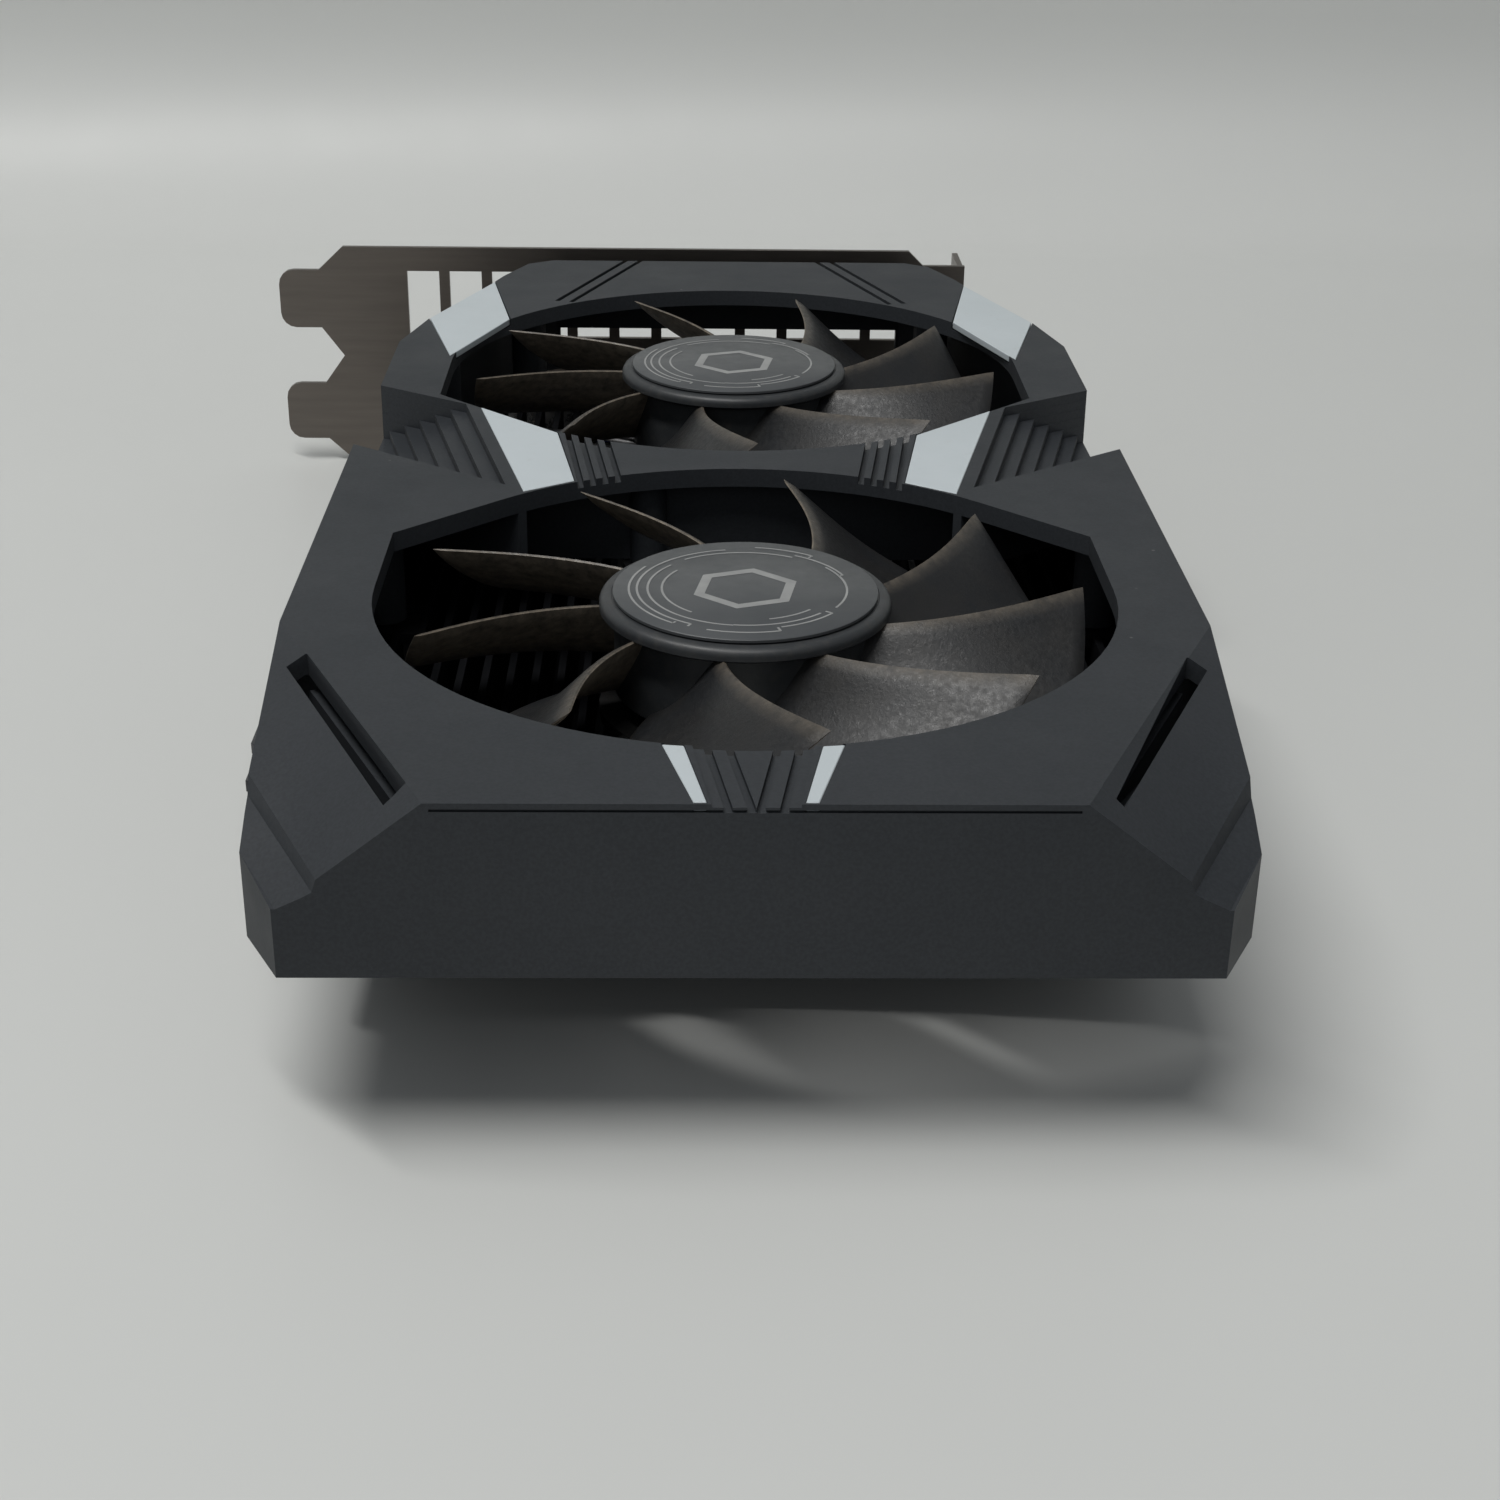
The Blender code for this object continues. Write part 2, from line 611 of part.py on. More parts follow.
def make_fan_base(name, fan):
    """The motor plate with its three arms, the bearing's socket and the screw eyes."""
    centre = (0, fan["y"])
    low = MOTOR_PLATE_Z
    high = low + MOTOR_PLATE_THICK
    base = cylinder(f"{name}_fan_base", centre, 16.6, (low, high), "part", sides=40)
    for k, angle in enumerate(fan["arms"]):
        start = around(centre, 10, angle)
        end = around(centre, POST_R, angle)
        join(base, slanted_box(f"{name}_arm_{k}", start, end, ARM_WIDTH, (low + 0.1, high - 0.1)))
        join(base, cylinder(f"{name}_eye_{k}", end, ARM_WIDTH / 2 + 0.4, (low, high), sides=20))
        cut(base, cylinder(f"{name}_eye_hole_{k}", end, 1.2, (low - 1, high + 1), sides=12))
    cut(base, cylinder(f"{name}_socket", centre, 3.3 + GAP, (low + 0.6, high + 1), sides=24))
    finish(base, "fan_plastic")


def make_motor(name, centre):
    """The still half of the motor: bearing sleeve, wound core and its small board."""
    foot = MOTOR_PLATE_Z + 0.6 + GAP
    bore = SHAFT_R + BORE_CLEARANCE
    sleeve = turned(f"{name}_bearing_sleeve", centre, [
        (3.3, 35.0), (3.3, foot), (0, foot), (0, foot + 0.9), (bore, foot + 0.9), (bore, 35.0)],
        "part", steps=28)
    finish(sleeve, "bronze")
    core = turned(f"{name}_stator", centre,
                  [(10.9, 33.4), (10.9, 28.6), (3.3 + GAP, 28.6), (3.3 + GAP, 33.4)], "part", steps=28)
    for k in range(4):
        inner, outer = around(centre, 5.5, 45 + 90 * k), around(centre, 12.5, 45 + 90 * k)
        cut(core, slanted_box(f"{name}_winding_slot_{k}", inner, outer, 1.6, (28, 34)))
    finish(core, "copper_coil")
    high = MOTOR_PLATE_Z + MOTOR_PLATE_THICK
    board = turned(f"{name}_motor_board", centre, [
        (10.5, high + GAP + 0.8), (10.5, high + GAP), (3.3 + GAP, high + GAP),
        (3.3 + GAP, high + GAP + 0.8)], "part", steps=28)
    finish(board, "board_mask")


# Routes of the fan leads: along an arm, then down to the header on the board.
LEADS = {
    "tail": [(-7.8, -9.2, 25.8), (-15.0, -17.4, 25.8), (-22.0, -23.4, 25.8), (-31.0, -26.6, 25.8),
             (-38.5, -24.8, 25.8), (-43.5, -22.5, 25.2), (-46.4, -19.5, 24.0), (-47.0, -16.0, 21.0),
             (-47.0, -11.0, 16.0), (-47.0, -6.0, 12.0), (-47.0, 0.0, 9.4), (-47.0, 6.0, 8.5),
             (-46.4, 10.5, 8.2)],
    "rear": [(-11.8, 91.2, 25.8), (-18.0, 93.0, 25.8), (-26.0, 95.2, 25.8), (-34.0, 96.6, 25.8),
             (-39.8, 95.0, 25.8), (-44.4, 91.5, 25.4), (-46.6, 88.0, 24.3), (-47.2, 84.0, 21.5),
             (-47.3, 78.0, 17.5), (-47.2, 70.0, 12.2), (-47.0, 52.0, 9.2), (-47.0, 34.0, 8.6),
             (-47.0, 26.0, 8.4), (-46.4, 20.5, 8.2)],
}
LEAD_R = 0.7


def smooth_route(points, per_span=3):
    """Points along a smooth curve through the given ones."""
    ends = [points[0]] + points + [points[-1]]
    route = []
    for a, b, c, d in zip(ends, ends[1:], ends[2:], ends[3:]):
        a, b, c, d = Vector(a), Vector(b), Vector(c), Vector(d)
        for i in range(per_span):
            t = i / per_span
            route.append(0.5 * (2 * b + (c - a) * t + (2 * a - 5 * b + 4 * c - d) * t * t
                                + (3 * b - a - 3 * c + d) * t ** 3))
    return route + [Vector(points[-1])]


def make_lead(name, points):
    curve = bpy.data.curves.new(name, "CURVE")
    curve.dimensions = "3D"
    curve.bevel_depth = LEAD_R * MM
    curve.bevel_resolution = 2
    curve.use_fill_caps = True
    route = smooth_route(points)
    spline = curve.splines.new("POLY")
    spline.points.add(len(route) - 1)
    for point, place in zip(spline.points, route):
        point.co = (*(place * MM), 1)
    obj = bpy.data.objects.new(name, curve)
    PARTS.objects.link(obj)
    finish(obj, "lead_rubber")


def make_fans():
    for name, fan in FANS.items():
        centre = (0, fan["y"])
        make_impeller(name, centre, fan["blade_phase"])
        make_rotor_parts(name, centre)
        make_fan_base(name, fan)
        make_motor(name, centre)
        make_lead(f"{name}_fan_lead", LEADS[name])


# --- bracket and connectors ------------------------------------------------------------------

def tongue(z_middle):
    """The rounded end of one tongue, from its upper root round to its lower root (x, z)."""
    half = TONGUE_WIDE / 2
    r = 2.6
    upper = arc((TONGUE_TIP + r, z_middle + half - r), r, 90, 180, 4)
    lower = arc((TONGUE_TIP + r, z_middle - half + r), r, 180, 270, 4)
    return [(TONGUE_ROOT, z_middle + half)] + upper + lower + [(TONGUE_ROOT, z_middle - half)]


def bracket_outline():
    second = FIRST_TONGUE_Z + SLOT_PITCH
    notch = (TONGUE_ROOT + 3.7, (FIRST_TONGUE_Z + second) / 2)
    left = [(PLATE_LEFT, BRACKET_HIGH)] + tongue(second) + [notch] + tongue(FIRST_TONGUE_Z)
    right = [(FLANGE_X, 0), (FLANGE_X, 36.2), (34.2, 36.2), (31.6, BRACKET_HIGH)]
    return left + [(PLATE_LEFT, 0)] + right


# Connector openings in the plate: middle x, middle z, width, height.
PORTS = {
    "dvi": (-31.0, 10.3, 37.4, 10.0),
    "hdmi": (1.5, 7.8, 15.4, 6.2),
    "displayport": (21.5, 8.0, 17.4, 6.4),
}


def make_bracket():
    back = BRACKET_Y + BRACKET_THICK
    plate = prism("io_bracket", bracket_outline(), BRACKET_Y, back, "part", upright=True)
    flange = box("flange", (FLANGE_X - BRACKET_THICK, FLANGE_X), (BRACKET_Y + 0.1, back + FLANGE_LONG),
                 (0.6, 35.6))
    join(plate, flange)
    for k in range(2):
        z = FIRST_TONGUE_Z + SLOT_PITCH * k
        cut(plate, box(f"screw_notch_{k}", (FLANGE_X - 3, FLANGE_X + 1), (back + 5.2, back + 20),
                       (z - 2.2, z + 2.2)))
    for k in range(VENTS):
        left = VENT_LEFT + VENT_PITCH * k
        cut(plate, box(f"vent_{k}", (left, left + VENT_WIDE), (BRACKET_Y - 1, back + 1), VENT_Z))
    for name, (x, z, wide, high) in PORTS.items():
        cut(plate, box(f"{name}_opening", (x - wide / 2, x + wide / 2), (BRACKET_Y - 1, back + 1),
                       (z - high / 2, z + high / 2)))
    for k, x in enumerate(DVI_POSTS):
        cut(plate, cylinder(f"post_hole_{k}", (x, PORTS["dvi"][1]), 2.0, (BRACKET_Y - 1, back + 1),
                            sides=16, axis="Y"))
    for k, x in enumerate(TAB_X):
        tab = box(f"tab_{k}", (x - TAB_WIDE / 2, x + TAB_WIDE / 2), (BRACKET_Y - 9, BRACKET_Y + 0.1),
                  (BOARD_TOP + GAP, BOARD_TOP + GAP + BRACKET_THICK))
        join(plate, tab)
        cut(plate, cylinder(f"tab_hole_{k}", (x, BRACKET_Y - 5), 1.5, (0, 12), sides=16))
    finish(plate, "bracket_steel")


DVI_POSTS = (PORTS["dvi"][0] - 21.8, PORTS["dvi"][0] + 21.8)
TAB_X = (-8.75, 34.6)
TAB_WIDE = 4.6


def make_bracket_screws():
    high = BOARD_TOP + BRACKET_THICK + 2 * GAP
    for k, x in enumerate(TAB_X):
        profile = [(0, high + 1.4), (1.6, high + 1.4), (2.1, high + 0.9), (2.1, high), (1.2, high),
                   (1.2, BOARD_Z + 0.2), (0, BOARD_Z + 0.2)]
        screw = turned(f"bracket_screw_{k + 1}", (x, BRACKET_Y - 5), profile, "part", steps=16)
        finish(screw, "steel")


def make_port(name, depth, proud, wall, lining):
    """A connector: metal shell open towards the rear, with its tongue inside."""
    x, z, wide, high = PORTS[name]
    half_wide, half_high = wide / 2 - GAP, high / 2 - GAP
    mouth = BRACKET_Y + BRACKET_THICK + proud
    shell = box(f"{name}_connector", (x - half_wide, x + half_wide), (mouth - depth, mouth),
                (z - half_high, z + half_high), "part")
    foot = box(f"{name}_foot", (x - half_wide + 0.4, x + half_wide - 0.4),
               (mouth - depth + 0.3, BRACKET_Y - 1.2), (BOARD_TOP + GAP, z))
    join(shell, foot)
    cut(shell, box(f"{name}_mouth", (x - half_wide + wall, x + half_wide - wall),
                   (mouth - 5.5 - proud, mouth + 1), (z - half_high + wall, z + half_high - wall)))
    join(shell, box(f"{name}_tongue", (x - half_wide + lining, x + half_wide - lining),
                    (mouth - 6.5 - proud, mouth - 1.2), (z - 0.7, z + 0.7)))
    finish(shell, "nickel")


def make_ports():
    make_port("dvi", 20.0, 5.0, 0.9, 3.2)
    make_port("hdmi", 13.0, 0.6, 0.6, 1.9)
    make_port("displayport", 14.0, 0.6, 0.6, 2.0)
    z = PORTS["dvi"][1]
    back = BRACKET_Y + BRACKET_THICK
    for k, x in enumerate(DVI_POSTS):
        post = cylinder(f"dvi_screw_post_{k + 1}", (x, z), 2.7, (back + GAP, back + 5.0), "part",
                        sides=6, axis="Y")
        join(post, cylinder(f"post_stem_{k}", (x, z), 1.6, (BRACKET_Y - 3.0, back + 1), sides=16, axis="Y"))
        cut(post, cylinder(f"post_bore_{k}", (x, z), 1.2, (back + 1.0, back + 6), sides=16, axis="Y"))
        finish(post, "nickel")


# --- board -----------------------------------------------------------------------------------

def board_outline():
    """Plan of the printed board, with the edge connector, its key and the retaining hook."""
    foot = BOARD_LEFT - FINGER_DEEP
    rear = BRACKET_Y - 1.2
    hook = [(BOARD_LEFT, HOOK_Y + 2.9), (BOARD_LEFT - 3.8, HOOK_Y + 2.9), (BOARD_LEFT - 3.8, HOOK_Y),
            (BOARD_LEFT - 6.4, HOOK_Y), (BOARD_LEFT - 6.4, HOOK_Y - 3.4), (BOARD_LEFT, HOOK_Y - 6.0)]
    return [
        (BOARD_LEFT, rear), (BOARD_LEFT, FINGER_Y[1]), (foot + 1, FINGER_Y[1]), (foot, FINGER_Y[1] - 1),
        (foot, KEY_Y[1]), (BOARD_LEFT, KEY_Y[1]), (BOARD_LEFT, KEY_Y[0]), (foot, KEY_Y[0]),
        (foot, FINGER_Y[0] + 1), (foot + 1, FINGER_Y[0]), (BOARD_LEFT, FINGER_Y[0]), *hook,
        (BOARD_LEFT, BOARD_TAIL), (BOARD_RIGHT, BOARD_TAIL), (BOARD_RIGHT, rear),
    ]


COOLER_SCREWS = [(GPU[0] + dx, GPU[1] + dy) for dx in (-27, 27) for dy in (-27, 27)]


def make_board():
    board = prism("pcb", board_outline(), BOARD_Z, BOARD_TOP, "part")
    for k, place in enumerate(COOLER_SCREWS):
        cut(board, cylinder(f"cooler_hole_{k}", place, 1.7, (BOARD_Z - 1, BOARD_TOP + 1), sides=16))
    for k, x in enumerate(TAB_X):
        cut(board, cylinder(f"bracket_hole_{k}", (x, BRACKET_Y - 5), 1.5,
                            (BOARD_Z - 1, BOARD_TOP + 1), sides=16))
    finish(board, "board_mask")


def make_contacts():
    """The plated contact strip on the fan side of the edge connector."""
    foot = BOARD_LEFT - FINGER_DEEP
    low = BOARD_TOP + 0.1
    strip = box("edge_contacts", (foot + 1.4, foot + 5.6), (FINGER_Y[0] + 1, KEY_Y[0] - 0.8),
                (low, low + 0.12), "part")
    finish(strip, "gold")


def chip(name, place, wide, long, low, high, kind="chip_resin"):
    x, y = place
    return finish(box(name, (x - wide / 2, x + wide / 2), (y - long / 2, y + long / 2), (low, high),
                      "part"), kind)


def make_chips():
    low = BOARD_TOP + GAP
    chip("gpu_substrate", GPU, 29, 29, low, low + 1.2, "substrate_green")
    chip("gpu_die", GPU, 10.5, 13, low + 1.2 + GAP, low + 2.0 + GAP, "silicon")
    places = [(GPU[0] + 24, GPU[1] - 8), (GPU[0] + 24, GPU[1] + 10), (GPU[0] - 8, GPU[1] - 26),
              (GPU[0] + 9, GPU[1] - 26)]
    for k, place in enumerate(places):
        wide, long = (12, 14) if k < 2 else (14, 12)
        chip(f"memory_chip_{k + 1}", place, wide, long, low, low + 1.1)
    for k in range(3):
        place = (20.0 - 13 * k, 104.0)
        chip(f"choke_{k + 1}", place, 8.0, 8.0, low, low + 3.8, "ferrite")
    for k in range(2):
        can = turned(f"capacitor_{k + 1}", (32.5, 70.0 + 12 * k), [
            (0, 8.1), (2.4, 8.1), (2.7, 7.8), (2.7, low), (0, low)], "part", steps=24)
        finish(can, "aluminium")


def make_fan_header():
    """Two-way header on the board: each fan's lead enters one end."""
    low = BOARD_TOP + GAP
    header = box("fan_header", HEADER_X, HEADER_Y, (low, low + 6.2), "part")
    finish(header, "connector_plastic")


# --- heatsink --------------------------------------------------------------------------------

def fin_comb():
    """Section of the base and its upright fins, from the left foot round (x, z)."""
    low, floor = BASE_Z
    count = int((2 * SINK_HALF - FIN_THICK) / FIN_PITCH) + 1
    outline = [(-SINK_HALF, low)]
    for k in range(count):
        left = -SINK_HALF + FIN_PITCH * k
        outline += [(left, FIN_TOP), (left + FIN_THICK, FIN_TOP)] if k == 0 else [
            (left, floor), (left, FIN_TOP), (left + FIN_THICK, FIN_TOP)]
        if k < count - 1:
            outline.append((left + FIN_THICK, floor))
    return outline + [(outline[-1][0], low)]


def make_heatsink():
    sink = prism("heatsink", fin_comb(), SINK_Y[0], SINK_Y[1], "part", upright=True)
    contact = BOARD_TOP + GAP + 2.0 + 2 * GAP
    join(sink, box("pedestal", (GPU[0] - 12, GPU[0] + 12), (GPU[1] - 12, GPU[1] + 12),
                   (contact, BASE_Z[0] + 1)))
    for k, (x, y) in enumerate(EAR_PAIRS):
        for side in (1, -1):
            if k == 0:
                inner, outer = x - EAR_HALF, SINK_HALF + 0.9
                room = sorted((side * (inner + 0.6), side * outer))
                cut(sink, box(f"ear_room_{side}", room, (y - EAR_HALF + 0.6, y + EAR_HALF - 0.6),
                              (BASE_Z[1] + 1, FIN_TOP + 1)))
                reach = sorted((side * inner, side * outer))
                ear = box(f"ear_{k}_{side}", reach, (y - EAR_HALF, y + EAR_HALF),
                          (FIN_TOP - 1.6, FIN_TOP - 0.1))
            else:
                ear = box(f"ear_{k}_{side}", (side * x - 4, side * x + 4), (SINK_Y[1] - 1, y + 3.2),
                          (FIN_TOP - 1.6, FIN_TOP - 0.1))
            join(sink, ear)
            cut(sink, cylinder(f"ear_hole_{k}_{side}", (side * x, y), 1.5, (FIN_TOP - 3, FIN_TOP + 1),
                               sides=12))
    cut(sink, box("header_room", (HEADER_X[0] - 10, HEADER_X[1] + 0.8), (HEADER_Y[0] - 5, HEADER_Y[1] + 2.2),
                  (BASE_Z[0] - 1, BASE_Z[1] + 0.6)))
    reach = (SINK_HALF - 2, END_FIN_X + FIN_THICK)
    join(sink, box("end_foot", reach, END_FIN_Y, BASE_Z))
    join(sink, box("end_fin", (END_FIN_X, reach[1]), END_FIN_Y, (BASE_Z[0], FIN_TOP)))
    for side, run in zip("rl", both_sides(SINK_CORNER)):
        cut(sink, prism(f"sink_corner_{side}", run, BASE_Z[0] - 1, FIN_TOP + 1))
    for k, place in enumerate(COOLER_SCREWS):
        cut(sink, cylinder(f"sink_hole_{k}", place, 1.4, (BASE_Z[0] - 1, BASE_Z[0] + 1.6), sides=12))
    finish(sink, "aluminium")


def make_cooler_screws():
    """Screws that pull the heatsink down, from the back of the board into its base."""
    for k, place in enumerate(COOLER_SCREWS):
        profile = [(0, BASE_Z[0] + 1.2), (1.1, BASE_Z[0] + 1.2), (1.1, BOARD_Z - GAP),
                   (2.6, BOARD_Z - GAP), (2.6, 0.5), (2.1, 0), (0, 0)]
        screw = turned(f"cooler_screw_{k + 1}", place, profile, "part", steps=16)
        finish(screw, "steel")


def make_shroud_screws():
    number = 0
    low = FIN_TOP - 1.6 - GAP
    for x, y in EAR_PAIRS:
        for side in (1, -1):
            number += 1
            profile = [(0, 30), (0.8, 30), (0.8, low), (2.2, low), (2.2, low - 0.7), (1.7, low - 1.2),
                       (0, low - 1.2)]
            screw = turned(f"shroud_screw_{number}", (side * x, y), profile, "part", steps=16)
            finish(screw, "steel")


def place_on_frame():
    """Moves the whole card so that its origin lies under the middle of its box."""
    frame = bpy.data.objects.new("card_frame", None)
    PARTS.objects.link(frame)
    across = (TONGUE_TIP + HALF_WIDTH) / 2
    along = (TAIL + BRACKET_Y + BRACKET_THICK + FLANGE_LONG) / 2
    frame.location = (-across * MM, -along * MM, 0)
    for obj in list(PARTS.objects) + list(CUTTERS.objects):
        if obj is not frame:
            obj.parent = frame


def main():
    clear_scene()
    make_shroud()
    make_fans()
    make_bracket()
    make_bracket_screws()
    make_ports()
    make_board()
    make_contacts()
    make_chips()
    make_fan_header()
    make_heatsink()
    make_cooler_screws()
    make_shroud_screws()
    place_on_frame()


main()
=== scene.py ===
"""The looks of the graphics card: fine meshes, procedural materials, studio and camera.

Pieces are drawn in millimetres from the tail fan's axis on the table, X across the card, Y along
it to the bracket and Z up, and are carried from there into the frame's metres.
"""
import json
import math
import random

import bmesh
import bpy
from mathutils import Matrix, Vector


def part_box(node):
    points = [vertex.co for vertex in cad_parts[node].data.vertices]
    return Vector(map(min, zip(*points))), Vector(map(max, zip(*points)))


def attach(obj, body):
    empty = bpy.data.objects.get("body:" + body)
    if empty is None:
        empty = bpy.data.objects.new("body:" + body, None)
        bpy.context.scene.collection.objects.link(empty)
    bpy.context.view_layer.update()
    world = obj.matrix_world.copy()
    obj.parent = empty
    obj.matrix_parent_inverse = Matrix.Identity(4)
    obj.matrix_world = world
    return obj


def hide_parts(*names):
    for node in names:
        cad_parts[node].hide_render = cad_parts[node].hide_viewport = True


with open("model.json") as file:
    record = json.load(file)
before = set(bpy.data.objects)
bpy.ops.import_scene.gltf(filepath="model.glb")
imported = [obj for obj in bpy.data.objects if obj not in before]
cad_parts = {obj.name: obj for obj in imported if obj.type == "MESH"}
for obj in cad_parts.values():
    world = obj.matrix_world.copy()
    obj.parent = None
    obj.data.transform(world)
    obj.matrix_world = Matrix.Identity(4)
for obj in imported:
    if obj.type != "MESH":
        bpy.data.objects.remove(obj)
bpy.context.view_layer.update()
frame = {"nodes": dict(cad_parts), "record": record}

MM = 0.001

# --- places read from the frame ----------------------------------------------------------------


def middle(node):
    low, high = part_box(node)
    return (low + high) / 2


TAIL_AXIS = middle("tail_shaft")
REAR_AXIS = middle("rear_shaft")
ORIGIN = Vector((TAIL_AXIS.x, TAIL_AXIS.y, 0))
SPACING = (REAR_AXIS.y - TAIL_AXIS.y) / MM
FANS = {"tail": 0.0, "rear": SPACING}
BLADE_PHASE = {"tail": 1.55, "rear": -6.0}


def local_box(node):
    """A node's box in the drawing's millimetres."""
    low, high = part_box(node)
    return (low - ORIGIN) / MM, (high - ORIGIN) / MM


TOP = local_box("shroud")[1].z

# --- mesh helpers ------------------------------------------------------------------------------


def outward(shape):
    bmesh.ops.recalc_face_normals(shape, faces=shape.faces)


def piece(name, shape, body, slot, node, smooth, material=None):
    """Makes an object of the bmesh, in the drawing's millimetres, and hangs it on its body.

    Edges that turn more than smooth, in degrees, stay sharp.
    """
    bmesh.ops.scale(shape, vec=(MM, MM, MM), verts=shape.verts)
    bmesh.ops.translate(shape, vec=ORIGIN, verts=shape.verts)
    mesh = bpy.data.meshes.new(name)
    shape.to_mesh(mesh)
    shape.free()
    obj = bpy.data.objects.new(name, mesh)
    bpy.context.collection.objects.link(obj)
    mesh.shade_smooth()
    mesh.set_sharp_from_angle(angle=math.radians(smooth))
    mesh.materials.append(material or MATERIALS[slot])
    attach(obj, body)
    if node:
        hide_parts(node)
    return obj


# What piece() takes as smooth for box-like, turned and swept shapes.
BOXY, ROUND, SWEPT = 30, 40, 50
BEVEL_TURN = 30.0      # edges that turn more than this, in degrees, are rounded


def bevel(obj, width, segments=3):
    modifier = obj.modifiers.new("Edges", "BEVEL")
    modifier.width = width * MM
    modifier.segments = segments
    modifier.limit_method = "ANGLE"
    modifier.angle_limit = math.radians(BEVEL_TURN)
    modifier.harden_normals = True
    return modifier


def add_box(shape, x, y, z):
    made = bmesh.ops.create_cube(shape, size=1.0)["verts"]
    bmesh.ops.scale(shape, vec=(x[1] - x[0], y[1] - y[0], z[1] - z[0]), verts=made)
    bmesh.ops.translate(shape, vec=(sum(x) / 2, sum(y) / 2, sum(z) / 2), verts=made)


def add_prism(shape, outline, low, high):
    face = shape.faces.new([shape.verts.new((x, y, low)) for x, y in outline])
    pushed = bmesh.ops.extrude_face_region(shape, geom=[face])["geom"]
    verts = [v for v in pushed if isinstance(v, bmesh.types.BMVert)]
    bmesh.ops.translate(shape, vec=(0, 0, high - low), verts=verts)


def add_turned(shape, centre, profile, steps=96):
    """A ring of quads for each pair of profile points (radius, z), with poles where radius is 0."""
    rings = []
    for radius, z in profile:
        turns = [360 * k / steps for k in range(steps)] if radius else [0]
        rings.append([shape.verts.new((*around(centre, radius, turn), z)) for turn in turns])
    if len(rings[0]) > 1 and len(rings[-1]) > 1:
        rings.append(rings[0])
    for upper, lower in zip(rings, rings[1:]):
        for k in range(steps):
            m = (k + 1) % steps
            if len(upper) == 1:
                shape.faces.new((upper[0], lower[k], lower[m]))
            elif len(lower) == 1:
                shape.faces.new((upper[k], lower[0], upper[m]))
            else:
                shape.faces.new((upper[k], lower[k], lower[m], upper[m]))


def add_sleeve(shape, loops):
    """Quads from each loop of vertices to the next, closed at both ends."""
    for first, second in zip(loops, loops[1:]):
        for k in range(len(first)):
            m = (k + 1) % len(first)
            shape.faces.new((first[k], first[m], second[m], second[k]))
    shape.faces.new(list(reversed(loops[0])))
    shape.faces.new(loops[-1])


def around(centre, radius, degrees):
    angle = math.radians(degrees)
    return centre[0] + radius * math.cos(angle), centre[1] + radius * math.sin(angle)


def both_sides(outline):
    return outline, [(-x, y) for x, y in reversed(outline)]


# --- materials ---------------------------------------------------------------------------------

# The Mix node's sockets for colours.
MIX_SHARE, MIX_FIRST, MIX_SECOND = 0, 6, 7
MIX_RESULT = 2


